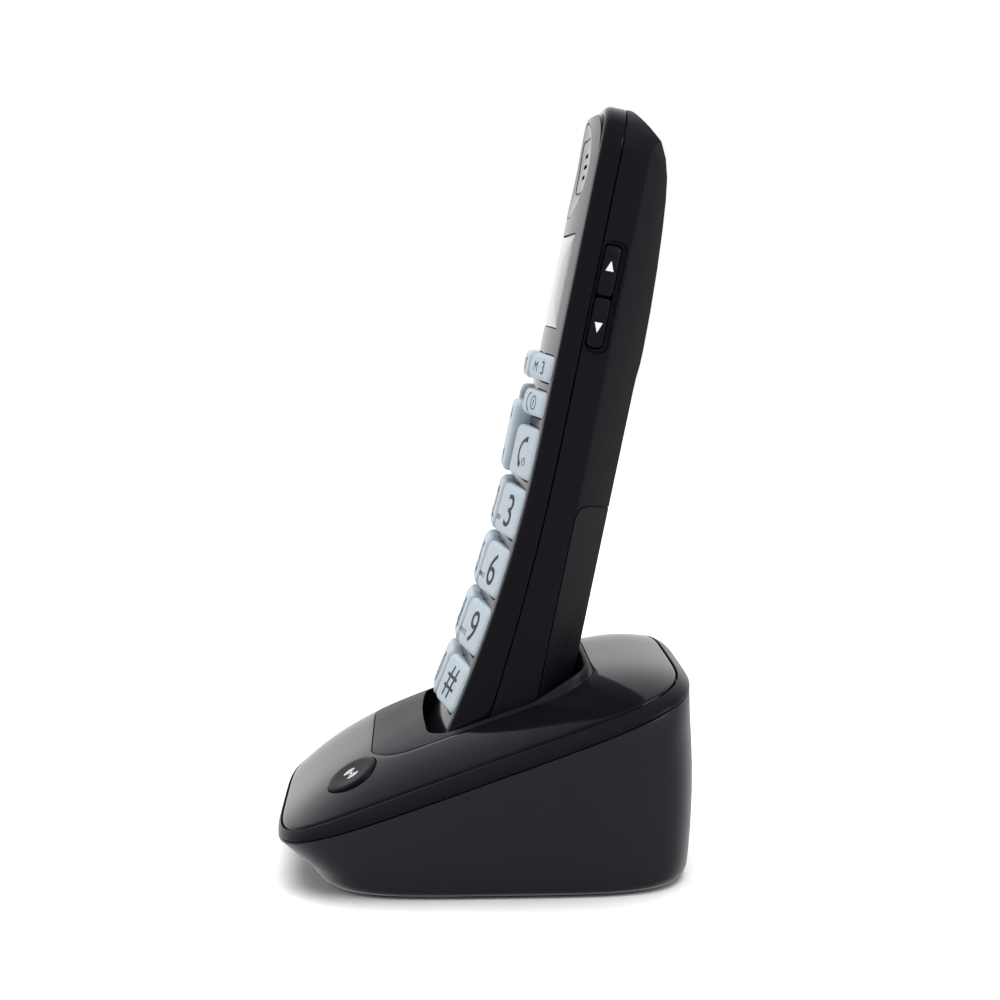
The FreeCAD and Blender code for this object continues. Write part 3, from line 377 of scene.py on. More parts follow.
LCD_PALE = grained(
    "pale display", (0.90, 0.92, 0.93), 0.30, 3200.0, 0.000002, drift=0.03,
)
LCD_INK = grained(
    "display segments", (0.04, 0.05, 0.06), 0.35, 2600.0, 0.000002, drift=0.05,
)
INNER_PLASTIC = grained(
    "inner plastic", (0.05, 0.05, 0.055), 0.55, 1500.0, 0.00002,
)
SILICONE = grained(
    "silicone", (0.10, 0.105, 0.11), 0.60, 1800.0, 0.00001, drift=0.06,
)
BOARD_GREEN = circuit_board("circuit board green")
PLATED_METAL = grained(
    "plated metal", (0.62, 0.60, 0.56), 0.22, 1600.0, 0.000008, metallic=1.0,
    patchy=0.3, drift=0.08,
)
GOLD_WIRE = grained(
    "gold wire", (0.72, 0.52, 0.22), 0.20, 1600.0, 0.000004, metallic=1.0,
    patchy=0.3, drift=0.08,
)
CELL_SLEEVE = grained(
    "cell sleeve", (0.03, 0.16, 0.09), 0.32, 900.0, 0.000008, drift=0.1,
)
FOOT_RUBBER = grained(
    "foot rubber", (0.02, 0.02, 0.02), 0.75, 1200.0, 0.00004, drift=0.1,
)


# ---- base outlines


def oval_point(turn, half_x, front, back, power=SQUARENESS):
    """Point of a squared oval in a direction from its middle."""
    middle, half_y = (back - front) / 2, (back + front) / 2
    across, along = math.cos(turn), math.sin(turn)
    reach = (abs(across / half_x) ** power + abs(along / half_y) ** power) ** (-1 / power)
    return across * reach, middle + along * reach


def turns():
    """The directions of the points round a base outline."""
    return [2 * math.pi * step / ROUND for step in range(ROUND)]


def floor_ring(half_x, front, back, level):
    """Level outline of the tub."""
    return [Vector((*oval_point(turn, half_x, front, back), level)) for turn in turns()]


def seam_ring(inset, rise):
    """Outline that follows the sloping seam."""
    ring = []
    for turn in turns():
        x, y = oval_point(turn, HALF_WIDE - inset, HALF_DEEP - inset, HALF_DEEP - inset)
        ring.append(Vector((x, y, SEAM_LEVEL + rise + SEAM_SLOPE * y)))
    return ring


def between(one, other, share):
    """A ring part of the way between two."""
    return [a.lerp(b, share) for a, b in zip(one, other)]


def crown_level(x, y):
    """Height of the crowned cover."""
    share = abs(x / COVER_WIDE) ** SQUARENESS + abs(y / COVER_DEEP) ** SQUARENESS
    return SEAM_LEVEL + RIM_RISE + SEAM_SLOPE * y + CROWN * (1 - share**FULLNESS)


def crown_normal(x, y):
    """Direction that the cover faces."""
    step = 0.05
    slope_x = (crown_level(x + step, y) - crown_level(x - step, y)) / (2 * step)
    slope_y = (crown_level(x, y + step) - crown_level(x, y - step)) / (2 * step)
    return Vector((-slope_x, -slope_y, 1)).normalized()


def panel_point(turn, half_x, half_y, corner):
    """Point of a rectangle with round corners in a direction from its middle."""
    across, along = math.cos(turn), math.sin(turn)
    c, s = max(abs(across), 1e-9), max(abs(along), 1e-9)
    reach = min(half_x / c, half_y / s)
    hub_x, hub_y = half_x - corner, half_y - corner
    if c * reach > hub_x and s * reach > hub_y:
        toward = c * hub_x + s * hub_y
        reach = toward + math.sqrt(toward**2 - hub_x**2 - hub_y**2 + corner**2)
    return across * reach, along * reach


def insert_outline(inset):
    """Plan outline of the cradle panel, moved inwards, as pairs."""
    pairs = []
    for turn in turns():
        x, y = panel_point(turn, 28.8 - inset, 26.8 - inset, 11.0 - inset)
        pairs.append((x, y - 0.2))
    return pairs


def pocket_point(turn, margin, height=None, sink=0.0):
    """Point of the slanting pocket at a height along it, or where it meets the crown."""
    half, long, corner = (side + margin for side in (POCKET_HALF, POCKET_LONG, POCKET_CORNER))
    x, depth = panel_point(turn, half, long, corner)
    depth -= POCKET_SHIFT
    if depth < -14.0:  # the front edge is bowed
        depth += 1.7 * min((x / POCKET_HALF) ** 2, 1.0) * min((-14.0 - depth) / 5.0, 1.0)
    if height is None:
        height = 45.0
        for _ in range(8):
            y = depth * math.cos(LEAN) - height * math.sin(LEAN)
            z = depth * math.sin(LEAN) + height * math.cos(LEAN)
            height -= (z - crown_level(x, y) + sink) / (math.cos(LEAN) + 0.2 * SEAM_SLOPE)
    y = depth * math.cos(LEAN) - height * math.sin(LEAN)
    z = depth * math.sin(LEAN) + height * math.cos(LEAN)
    return Vector((x, y, z))


def pocket_ring(margin, height=None, sink=0.0):
    """Outline of the pocket at a height, or where it meets the crown."""
    return [pocket_point(turn, margin, height, sink) for turn in turns()]


def page_place():
    """Place of the page button, square to the crown."""
    x, y = PAGE_SPOT
    facing = crown_normal(x, y).to_track_quat("Z", "Y").to_matrix().to_4x4()
    return Matrix.Translation((x, y, crown_level(x, y))) @ facing


def on_crown(pairs, sink=0.0):
    """Lays plan points on the crown, a little under it."""
    return [Vector((x, y, crown_level(x, y) - sink)) for x, y in pairs]


# ---- base


def make_tub():
    """Lower case of the base with its two socket openings."""
    skirt = floor_ring(41.5, 42.9, 50.4, 4.5)
    seam = seam_ring(0.0, -0.45)
    rings = [
        floor_ring(36.8, 36.2, 45.6, 0.3),
        floor_ring(38.6, 38.3, 47.4, 0.35),
        floor_ring(39.6, 39.5, 48.6, 0.65),
        floor_ring(40.5, 40.7, 49.6, 1.5),
        floor_ring(41.1, 41.8, 50.2, 2.9),
    ]
    for share in (0.03, 0.1, 0.18, 0.28, 0.4, 0.55, 0.7, 0.85, 1.0):
        swell = 0.9 * math.sin(math.pi * min(share * 1.1, 1.0))
        ring = between(skirt, seam, share)
        for point in ring:
            point.y += swell * max(point.y / HALF_DEEP, 0.0) ** 2
        rings.append(ring)
    rings += [seam_ring(0.12, -0.12), seam_ring(0.4, 0.0), seam_ring(2.2, 0.0)]
    inner_skirt = floor_ring(38.9, 39.4, 47.4, 5.5)
    rings += [between(inner_skirt, seam_ring(2.2, 0.0), 0.5), inner_skirt]
    rings.append(floor_ring(36.0, 36.0, 44.0, 2.6))
    tub = skin("tub", rings)
    for side in (-1, 1):
        opening = prism(
            "opening", rounded(7.2, 6.2, 0.6, 3, (side * SOCKET_X, SOCKET_Z)), "Y", 30.0, 60.0
        )
        carve(tub, opening)
    settle(tub, "base_lower_case", "base", TUB_BLACK, ("base_housing",))


def cover_edge(turn, grow=0.0):
    """Point of the cover's edge: it comes nearer the outline at the front of the base."""
    return oval_point(turn, COVER_WIDE - 0.12 + grow, 49.0 + grow, COVER_DEEP + grow, 4.8)


def make_rim():
    """Band between the tub and the cover, a little hollow towards its top edge."""
    profile = (
        (0.0, 0.0), (-0.01, 0.07), (0.02, 0.16), (0.1, 0.3), (0.26, 0.49), (0.46, 0.68),
        (0.66, 0.84), (0.82, 0.95), (0.92, 1.0), (0.975, 1.0), (1.0, 0.94),
    )
    lower = seam_ring(0.0, 0.5)
    upper = on_crown([cover_edge(turn, 0.45) for turn in turns()], -0.02)
    rings = [seam_ring(2.4, 0.22), seam_ring(0.35, 0.22), seam_ring(0.1, 0.3)]
    for inward, upward in profile:
        ring = []
        for low, high in zip(lower, upper):
            spot = low.lerp(high, inward)
            spot.z = low.z + (high.z - low.z) * upward
            ring.append(spot)
        rings.append(ring)
    inner = [Vector((point.x, point.y, point.z - 2.4)) for point in upper]
    ledge = []
    for point in inner:
        x, y = point.x * 0.86, point.y * 0.88
        ledge.append(Vector((x, y, SEAM_LEVEL + SEAM_SLOPE * y + 1.2)))
    under = [Vector((p.x, p.y, p.z - 0.98)) for p in ledge]
    rings += [inner, ledge, under, rings[0]]
    rim = skin("rim", rings, loop=True)
    settle(rim, "base_rim_band", "base", RIM_BLACK, ("base_rim",))


def make_cover():
    """Crowned glossy cover with its opening for the cradle panel and the page button."""
    opening = insert_outline(-0.16)
    edge = [cover_edge(turn) for turn in turns()]

    def across(share, sink):
        pairs = []
        for (x, y), (far_x, far_y) in zip(opening, edge):
            pairs.append((x + (far_x - x) * share, y + (far_y - y) * share))
        return on_crown(pairs, sink)

    rings = [across(0.0, 2.2), across(0.0, 0.3), across(0.006, 0.1), across(0.02, 0.0)]
    rings += [across(share / 12, 0.0) for share in range(1, 12)]
    rings += [across(0.96, 0.0), across(0.985, 0.02), across(0.995, 0.12), across(1.0, 0.35)]
    rings += [across(1.0, 2.2), across(0.5, 2.2), across(0.0, 2.2)]
    cover = skin("cover", rings, loop=True)
    bore = prism("bore", rounded(6.78, 6.78, 6.77, 12), "Z", -8.0, 8.0)
    bore.matrix_world = page_place()
    carve(cover, bore)
    settle(cover, "base_top_cover", "base", GLOSS_BLACK, ("base_cover",))


def make_cradle():
    """Matt panel with the slanting pocket that the handset stands in."""
    outline = insert_outline(0.0)
    mouth = pocket_ring(1.0)

    def across(share, sink=0.0):
        pairs = []
        for point, (far_x, far_y) in zip(mouth, outline):
            step_x, step_y = (far_x - point.x) * share, (far_y - point.y) * share
            pairs.append((point.x + step_x, point.y + step_y))
        return on_crown(pairs, sink)

    def collar_ring(margin, share, drop=0.0):
        """Ring on the low collar that rises behind the handset."""
        ring = []
        for turn, point in zip(turns(), pocket_ring(margin, sink=drop)):
            depth = panel_point(turn, POCKET_HALF, POCKET_LONG, POCKET_CORNER)[1] - POCKET_SHIFT
            rise = min(max((depth - 1.0) / 11.0, 0.0), 1.0)
            rise = 3.0 * rise * rise * (3 - 2 * rise) * share
            ring.append(point + Vector((0, -math.sin(LEAN), math.cos(LEAN))) * rise)
        return ring

    floor = DOCK - 1.0
    rings = [
        pocket_ring(-8.0, floor), pocket_ring(-1.0, floor), pocket_ring(-0.3, floor + 0.3),
        pocket_ring(0.0, floor + 1.0), collar_ring(0.0, 0.0, 0.6), collar_ring(0.02, 0.9, 0.2),
        collar_ring(0.2, 1.0, 0.05), collar_ring(0.6, 1.02), collar_ring(1.0, 0.98),
        collar_ring(1.25, 0.8), collar_ring(1.4, 0.3), collar_ring(1.65, 0.06),
        across(0.18), across(0.4), across(0.7), across(0.94, 0.0), across(0.985, 0.08),
        across(1.0, 0.3), across(1.0, 3.0), pocket_ring(1.6, None, 3.2),
        pocket_ring(1.6, floor), pocket_ring(1.0, floor - 1.6), pocket_ring(-8.0, floor - 1.6),
    ]
    cradle = skin("cradle", rings)
    for side in (-1, 1):
        slot = prism("slot", rounded(1.6, 1.0, 0.4, 3, (side * 8.0, 2.0)), "Z", 10.0, floor + 4)
        slot.matrix_world = Matrix.Rotation(LEAN, 4, "X")
        carve(cradle, slot)
    settle(cradle, "cradle_panel", "base", INSERT_GREY, ("cradle_insert",))


def make_page_button():
    """Round page button with its printed sign."""
    profile = (
        (2.6, -7.6), (2.6, -2.6), (5.9, -2.6), (6.35, -2.3), (6.5, -1.8), (6.5, -0.15),
        (6.38, 0.16), (6.05, 0.36), (5.4, 0.42), (4.2, 0.34), (2.8, 0.26), (1.2, 0.22),
    )
    button = skin("button", disc_rings(profile, turns()[::2]), "face", "point")
    hold(button)
    button.data.materials.append(PAGE_BLACK)
    signs = [stroke([(-0.3, 0), (0.3, 0)], 0.6, LEGEND_WHITE)]
    for radius in (1.15, 1.95):
        for middle in (0, 180):
            signs.append(stroke(arc_points(radius, middle - 48, middle + 48), 0.34, LEGEND_WHITE))
    for sign in signs:
        lay_flat(sign, lambda u, v: 0.24 + 0.0045 * (u * u + v * v), upward=True)
    button = join([button] + signs)
    settle(button, "page_button_cap", "page_button", PAGE_BLACK,
           ("page_button",), page_place())


def make_sockets():
    """Two modular sockets in the rear wall, one drawn and then copied."""
    body = prism("socket", rounded(7.0, 6.0, 0.5, 3), "Y", 34.4, 49.5)
    carve(body, prism("mouth", rounded(5.0, 3.1, 0.25, 2, (0, 0.5)), "Y", 38.4, 60.0))
    carve(body, prism("latch_way", rounded(1.7, 0.9, 0.2, 2, (0, -3.1)), "Y", 38.4, 60.0))
    soften(body, 0.18, 2, 50.0)
    body.data.materials.append(INNER_PLASTIC)
    wires = []
    for number in range(4):
        x = (number - 1.5) * 1.2
        path = [(39.0, 3.3), (41.0, 2.6), (44.0, 0.6), (47.0, -1.4)]
        sixths = [math.pi / 3 * step for step in range(6)]
        wire = skin("wire", [
            [Vector((x + 0.22 * math.cos(t), y, z + 0.22 * math.sin(t))) for t in sixths]
            for y, z in path
        ])
        wire.data.materials.append(GOLD_WIRE)
        wires.append(wire)
    first = join([body] + wires)
    second = copy_of(first, "power_socket_block")
    settle(first, "line_socket_block", "base", INNER_PLASTIC, ("line_socket",),
           Matrix.Translation((-SOCKET_X, 0, SOCKET_Z)))
    settle(second, "power_socket_block", "base", INNER_PLASTIC, ("power_socket",),
           Matrix.Translation((SOCKET_X, 0, SOCKET_Z)))


def make_feet():
    """Four rubber feet with a soft edge and a dished sole, one drawn and then copied."""
    profile = (
        (4.9, 1.48), (5.0, 1.3), (5.0, 0.5), (4.8, 0.12), (4.4, 0.0), (3.4, 0.0), (3.0, 0.15),
    )
    foot = skin("foot", disc_rings(profile, turns()[::4]), "face", "point")
    feet = []
    for number, (x, y) in enumerate(((29, -27), (29, 36.5), (-29, -27), (-29, 36.5))):
        twin = copy_of(foot, f"foot_{number}")
        twin.location = (x, y, 0)
        feet.append(twin)
    bpy.data.objects.remove(foot)
    hold(*feet)
    bpy.ops.object.transform_apply(location=True, rotation=True, scale=True)
    settle(join(feet), "rubber_foot_set", "base", FOOT_RUBBER, ("rubber_feet",))


# ---- handset outlines


def bent(depth, radius, level):
    """Depth of a lengthwise line that bends forwards below the bend."""
    below = max(BEND - level, 0.0)
    return depth - radius + math.sqrt(radius**2 - below**2)


def face_at(level):
    """Depth of the front edge of the case."""
    return bent(FACE, BEND_RADIUS, level)


def seam_at(level):
    """Depth of the seam between the two halves."""
    return bent(SEAM, SEAM_RADIUS, level)


def plate_crown(x):
    """How far the face stands forward of its edge."""
    radius = (PLATE_HALF**2 + PLATE_CROWN**2) / (2 * PLATE_CROWN)
    return math.sqrt(radius**2 - x**2) - math.sqrt(radius**2 - PLATE_HALF**2)


def case_outline(inset):
    """Front view of the case, moved inwards, as pairs of x and level."""
    half, low, high = CASE_HALF - inset, inset, CASE_LONG - inset
    corner = max(CASE_CORNER - inset, 0.4)
    pairs = []

    def straight(start, end, steps):
        for step in range(steps):
            share = step / steps
            pairs.append(tuple(a + (b - a) * share for a, b in zip(start, end)))

    def arc(hub, start, steps=12):
        for step in range(steps):
            turn = math.radians(start + 90.0 * step / steps)
            pairs.append((hub[0] + corner * math.cos(turn), hub[1] + corner * math.sin(turn)))

    straight((half, low + corner), (half, high - corner), 44)
    arc((half - corner, high - corner), 0)
    straight((half - corner, high), (corner - half, high), 10)
    arc((corner - half, high - corner), 90)
    straight((-half, high - corner), (-half, low + corner), 44)
    arc((corner - half, low + corner), 180)
    straight((corner - half, low), (half - corner, low), 10)
    arc((half - corner, low + corner), 270)
    return pairs


def on_face(x, level):
    """Place on the face: y into the case, square to the face."""
    tilt = math.asin(max(BEND - level, 0.0) / BEND_RADIUS)
    forward = BEND_RADIUS * (1 - math.cos(tilt))
    spot = Matrix.Translation((x, FACE - forward, level))
    return STANDING @ spot @ Matrix.Rotation(-tilt, 4, "X")


# ---- lettering


def lettering(text, height, u, v, material, thin=-0.01):
    """Text as a thin closed mesh in the XZ plane, with its middle at (u, v)."""
    bpy.ops.object.select_all(action="DESELECT")
    bpy.ops.object.text_add(location=(0, 0, 0))
    piece = bpy.context.object
    piece.data.body = text
    piece.data.align_x = "CENTER"
    piece.data.align_y = "CENTER"
    piece.data.size = height
    piece.data.resolution_u = 4
    piece.data.extrude = LETTER_THICKNESS
    piece.data.offset = thin
    bpy.ops.object.convert(target="MESH")
    piece = bpy.context.object
    piece.rotation_euler = (math.pi / 2, 0, 0)
    bpy.ops.object.transform_apply(location=True, rotation=True, scale=True)
    if height > 4.0:  # large characters follow the curved key tops
        bpy.ops.object.mode_set(mode="EDIT")
        bpy.ops.mesh.select_all(action="SELECT")
        bpy.ops.mesh.subdivide(number_cuts=3)
        bpy.ops.object.mode_set(mode="OBJECT")
    corners = [vertex.co for vertex in piece.data.vertices]
    middle_u = (min(c.x for c in corners) + max(c.x for c in corners)) / 2
    middle_v = (min(c.z for c in corners) + max(c.z for c in corners)) / 2
    piece.location = (u - middle_u, 0, v - middle_v)
    bpy.ops.object.transform_apply(location=True, rotation=True, scale=True)
    piece.data.materials.clear()
    piece.data.materials.append(material)
    return piece


def lay_flat(piece, rise_at, upward=False):
    """Lays thin flat lettering on a surface whose rise is given at each place."""
    for vertex in piece.data.vertices:
        u, thickness, v = vertex.co
        if upward:
            vertex.co = (u, v, rise_at(u, v) - thickness * 0.5)
        else:
            vertex.co = (u, thickness * 0.5 - rise_at(u, v), v)


def stroke(points, width, material):
    """A drawn line of even width as a thin closed mesh in the XZ plane."""
    rings = []
    for number, (u, v) in enumerate(points):
        before = points[max(number - 1, 0)]
        after = points[min(number + 1, len(points) - 1)]
        along = Vector((after[0] - before[0], 0, after[1] - before[1])).normalized()
        side = Vector((-along.z, 0, along.x)) * width / 2
        spot = Vector((u, 0, v))
        lift = Vector((0, LETTER_THICKNESS, 0))
        rings.append([
            spot + side - lift, spot - side - lift, spot - side + lift, spot + side + lift,
        ])
    piece = skin("stroke", rings)
    piece.data.materials.append(material)
    return piece


def arc_points(radius, start, end, steps=14, middle=(0.0, 0.0)):
    """Points along an arc, angles in degrees."""
    pairs = []
    for step in range(steps + 1):
        turn = math.radians(start + (end - start) * step / steps)
        pairs.append((middle[0] + radius * math.cos(turn), middle[1] + radius * math.sin(turn)))
    return pairs


# ---- keys


ROUNDING = ((0.0, 1.3), (0.06, 0.85), (0.24, 0.45), (0.55, 0.17), (0.95, 0.03), (1.4, 0.0))


def key_cap(half_tall, left_rise, right_rise):
    """A key with soft corners and a sloping top that swells a little."""

    def rise_at(u, v=0.0):
        slope = left_rise + (right_rise - left_rise) * (u + KEY_HALF) / (2 * KEY_HALF)
        swell = 0.22 * (1 - (u / KEY_HALF) ** 2) * (1 - (v / half_tall) ** 2)
        return slope + swell

    rings = [[Vector((u, KEY_ROOT, v)) for u, v in rounded(KEY_HALF, half_tall, KEY_CORNER, 6)]]
    for inset, drop in ROUNDING:
        ring = []
        for u, v in rounded(KEY_HALF - inset, half_tall - inset, KEY_CORNER - inset, 6):
            ring.append(Vector((u, drop - rise_at(u, v), v)))
        rings.append(ring)
    flat = ROUNDING[-1][0]
    for share in (0.66, 0.33):
        ring = []
        for u, v in rounded(KEY_HALF - flat, half_tall - flat, 0.8, 6):
            ring.append(Vector((u * share, -rise_at(u * share, v * share), v * share)))
        rings.append(ring)
    cap = skin("cap", rings, "face", "point")
    cap.data.materials.append(KEY_GREY)
    return cap, rise_at


def handset_sign(lean):
    """Curved handset sign, leaning one way or the other."""
    radius, hub = 3.6, (2.0, 0.3)
    grip = stroke(arc_points(radius, 125, 235, middle=hub), 0.75, LEGEND_BLACK)
    ends = []
    for turn in (122, 238):
        u = hub[0] + radius * math.cos(math.radians(turn))
        v = hub[1] + radius * math.sin(math.radians(turn))
        points = [(u - 0.1, v), (u + 1.1, v + (0.5 if turn < 180 else -0.5))]
        ends.append(stroke(points, 1.35, LEGEND_BLACK))
    sign = join([grip] + ends)
    sign.rotation_euler = (0, math.radians(lean), 0)
    hold(sign)
    bpy.ops.object.transform_apply(location=True, rotation=True, scale=True)
    return sign


def ring_sign(radius, u, v, width=0.22):
    """Small circle sign."""
    return stroke(arc_points(radius, 0, 360, 20, (u, v)), width, LEGEND_BLACK)


def triangle_sign(width, tall, u, v, up, material):
    """Filled triangle sign pointing up or down."""
    tip = tall / 2 if up else -tall / 2
    half, blunt = width / 2, 0.06
    corners = [(u - half, v - tip), (u + half, v - tip), (u + blunt, v + tip), (u - blunt, v + tip)]
    sign = prism("triangle", corners, "Y", -LETTER_THICKNESS, LETTER_THICKNESS)
    sign.data.materials.append(material)
    return sign


def digit_signs(digit, letters):
    """Digit with its small letters at the left."""
    signs = [lettering(digit, 11.4, 1.0 if letters else 0.0, 0.0, LEGEND_BLACK, -0.025)]
    if letters:
        signs.append(lettering(letters, 1.8, -4.9, -2.6, LEGEND_BLACK))
    return signs


def memory_signs(number):
    """Letter and number of a memory key."""
    return [
        lettering("M", 3.6, -2.4, 0, LEGEND_BLACK), lettering(number, 4.6, 2.2, 0, LEGEND_BLACK),
    ]


def key_plan():
    """Every key: its name, column, level, half height and the signs on it."""
    ink = LEGEND_BLACK
    digits = (
        (("star", "*", ""), ("0", "0", "+"), ("hash", "#", "")),
        (("7", "7", "PQRS"), ("8", "8", "TUV"), ("9", "9", "WXYZ")),
        (("4", "4", "GHI"), ("5", "5", "JKL"), ("6", "6", "MNO")),
        (("1", "1", ""), ("2", "2", "ABC"), ("3", "3", "DEF")),
    )
    plans = []
    for row, keys in enumerate(digits):
        for column, (name, digit, letters) in zip(COLUMNS, keys):
            signs = partial(digit_signs, digit, letters)
            plans.append((name, column, DIGIT_LEVEL + DIGIT_PITCH * row, DIGIT_TALL, signs))
    for column, number in zip(COLUMNS, "123"):
        signs = partial(memory_signs, number)
        plans.append(("memory_" + number, column, MEMORY_LEVEL, SMALL_TALL, signs))
    return plans + [
        ("function_left", -1, FUNCTION_LEVEL, SMALL_TALL, lambda: [
            stroke([(-2.6, 0), (2.6, 0)], 0.5, ink)]),
        ("function_right", 1, FUNCTION_LEVEL, SMALL_TALL, lambda: [
            ring_sign(1.6, 0.8, 0),
            stroke(arc_points(2.3, 110, 250, middle=(-1.2, 0)), 0.35, ink),
            stroke([(0.8, -0.7), (0.8, 0.7)], 0.35, ink)]),
        ("call", -1, CALL_LEVEL, CALL_TALL, lambda: [handset_sign(-20)]),
        ("end", 1, CALL_LEVEL, CALL_TALL, lambda: [
            handset_sign(20), ring_sign(0.95, 2.3, -2.2, 0.16),
            stroke([(2.3, -2.4), (2.3, -1.7)], 0.2, ink)]),
        ("navigation", 0, NAVIGATION_LEVEL, NAVIGATION_TALL, lambda: [
            triangle_sign(3.4, 2.6, 0, 5.3, True, ink),
            triangle_sign(3.4, 2.6, 0, -5.3, False, ink)]),
    ]


def make_keys():
    """All keys of the face, each riding on its own body."""
    outer, inner, middle, raised = 0.55, 4.8, 5.0, 6.0
    rises = {-1: (outer, inner), 0: (middle, middle), 1: (inner, outer)}
    masters = {}
    for name, column, level, half_tall, signs in key_plan():
        pair = (raised, raised) if name == "navigation" else rises[column]
        if (half_tall, pair) not in masters:
            masters[half_tall, pair] = key_cap(half_tall, *pair)
        master, rise_at = masters[half_tall, pair]
        label = "key_" + name
        pieces = [copy_of(master, label + "_cap")]
        for sign in signs():
            lay_flat(sign, rise_at)
            pieces.append(sign)
        key = join(pieces)
        settle(key, label + "_cap", label, KEY_GREY, (label,),
               on_face(column * KEY_PITCH, level), smooth=38.0)
    for master, _ in masters.values():
        bpy.data.objects.remove(master)


# ---- handset


def ear_dish(x, level):
    """How far the face is dished round the receiver."""
    q = (x / EAR_HALF_U) ** 2 + ((level - EAR_LEVEL) / EAR_HALF_V) ** 2
    return 1.7 * (1 - q) if q < 1 else 0.0


def plate_at(x, level):
    """Depth of the face panel."""
    return face_at(level) - plate_crown(x)


def make_front_case():
    """Glossy frame round the face, with the tray behind the panel."""
    profile = (
        (1.8, seam_at, -0.12), (0.4, seam_at, -0.12), (0.1, seam_at, -0.25), (0.0, seam_at, -0.6),
        (0.0, face_at, 2.0), (0.05, face_at, 1.35), (0.28, face_at, 0.72), (0.7, face_at, 0.28),
        (1.2, face_at, 0.06), (1.7, face_at, 0.0), (2.0, face_at, 0.05), (2.16, face_at, 0.22),
        (2.2, face_at, 0.5), (2.2, face_at, 1.55), (2.7, face_at, 1.55), (2.7, face_at, 2.7),
        (1.8, face_at, 2.7), (1.8, seam_at, -0.12),
    )
    rings = []
    for inset, line, shift in profile:
        rings.append([Vector((x, line(v) + shift, v)) for x, v in case_outline(inset)])
    case = skin("front", rings, loop=True)
    settle(case, "handset_front_case", "handset", GLOSS_BLACK, ("front_shell",),
           STANDING)


def make_face_panel():
    """Crowned glossy panel with holes for the keys, the window and the receiver."""
    bpy.ops.object.select_all(action="DESELECT")
    bpy.ops.mesh.primitive_grid_add(x_subdivisions=40, y_subdivisions=150, size=1.0)
    panel = bpy.context.object
    panel.scale = (47.6, 162.0, 1.0)
    panel.location = (0, 83.0, 0)
    bpy.ops.object.transform_apply(location=True, rotation=True, scale=True)
    for vertex in panel.data.vertices:
        x, level, _ = vertex.co
        vertex.co = (x, plate_at(max(min(x, PLATE_HALF), -PLATE_HALF), level), level)
    finish_with(panel, "SOLIDIFY", thickness=1.3, offset=-1.0)
    carve(panel, prism("edge", case_outline(2.38), "Y", -40.0, 20.0), "INTERSECT")
    tools = [
        prism("window", rounded(WINDOW_HALF_U, WINDOW_HALF_V, 0.8, 4, (0, WINDOW_LEVEL)),
              "Y", -40.0, 20.0),
        prism("ear", [(x, level) for x, _, level in ear_ring(1.012, 1.018, turns()[::2])],
              "Y", -40.0, 20.0),
    ]
    for column in COLUMNS:
        for row in range(4):
            tools.append(key_hole(column, DIGIT_LEVEL + DIGIT_PITCH * row, DIGIT_TALL))
        tools.append(key_hole(column, MEMORY_LEVEL, SMALL_TALL))
    for column in (-1, 1):
        tools.append(key_hole(column, FUNCTION_LEVEL, SMALL_TALL))
        tools.append(key_hole(column, CALL_LEVEL, CALL_TALL))
    tools.append(key_hole(0, NAVIGATION_LEVEL, NAVIGATION_TALL))
    mouth = prism("mouth", rounded(0.6, 0.6, 0.59, 3), "Y", -6.0, 6.0)
    mouth.matrix_world = STANDING.inverted() @ on_face(0, 9.5)
    tools.append(mouth)
    for tool in tools:
        carve(panel, tool)
    settle(panel, "face_panel", "handset", PANEL_BLACK, ("faceplate",), STANDING,
           smooth=24.0)


def key_hole(column, level, half_tall):
    """Tool for the hole of one key."""
    hole = prism("hole", rounded(KEY_HALF + 0.32, half_tall + 0.32, 2.5, 6), "Y", -9.0, 9.0)
    hole.matrix_world = STANDING.inverted() @ on_face(column * KEY_PITCH, level)
    return hole


def dished(x, level, drop=0.0):
    """Point on the dished face."""
    return Vector((x, plate_at(x, level) + ear_dish(x, level) + drop, level))


def ear_ring(share_u, share_v, points, drop=0.0):
    """Oval ring on the dished face."""
    ring = []
    for t in points:
        level = EAR_LEVEL + EAR_HALF_V * share_v * math.sin(t)
        ring.append(dished(EAR_HALF_U * share_u * math.cos(t), level, drop))
    return ring


def grille_ring(half_u, half_v, corner, drop, share=1.0):
    """Ring of the receiver grille on the dished face."""
    ring = []
    for t in turns():
        x, along = panel_point(t, half_u, half_v, corner)
        ring.append(dished(x * share, GRILLE_LEVEL + along * share, drop))
    return ring


def make_ear_piece():
    """Dished oval plate round the receiver, and the slotted grille in it."""
    steps = ((1.0, 1.5), (1.0, 0.35), (0.994, 0.12), (0.98, 0.0), (0.95, 0.0))
    rings = [ear_ring(share, share, turns(), drop) for share, drop in steps]
    opening = [grille_ring(13.1, 6.6, 6.2, drop) for drop in (0.0, 0.12, 1.4)]
    rings += [between(rings[-1], opening[0], share) for share in (0.33, 0.66, 0.96)]
    rings += [opening[1], opening[2], rings[0]]
    dish = skin("dish", rings, loop=True)
    settle(dish, "ear_dish", "handset", PANEL_BLACK, place=STANDING)
    steps = ((1.0, 1.3), (1.0, 0.3), (0.985, 0.08), (0.95, 0.02), (0.6, 0.0), (0.3, 0.0))
    rings = [grille_ring(12.9, 6.4, 6.1, drop, share) for share, drop in steps]
    grille = skin("grille", rings, "face", "point")
    for row, half_long in ((-1, 3.4), (0, 4.2), (1, 3.4)):
        slot = rounded(half_long, 0.5, 0.45, 4, (0, GRILLE_LEVEL + row * 2.6))
        carve(grille, prism("slot", slot, "Y", -20.0, 20.0))
    settle(grille, "ear_grille", "handset", PANEL_BLACK, ("receiver_grille",),
           STANDING)


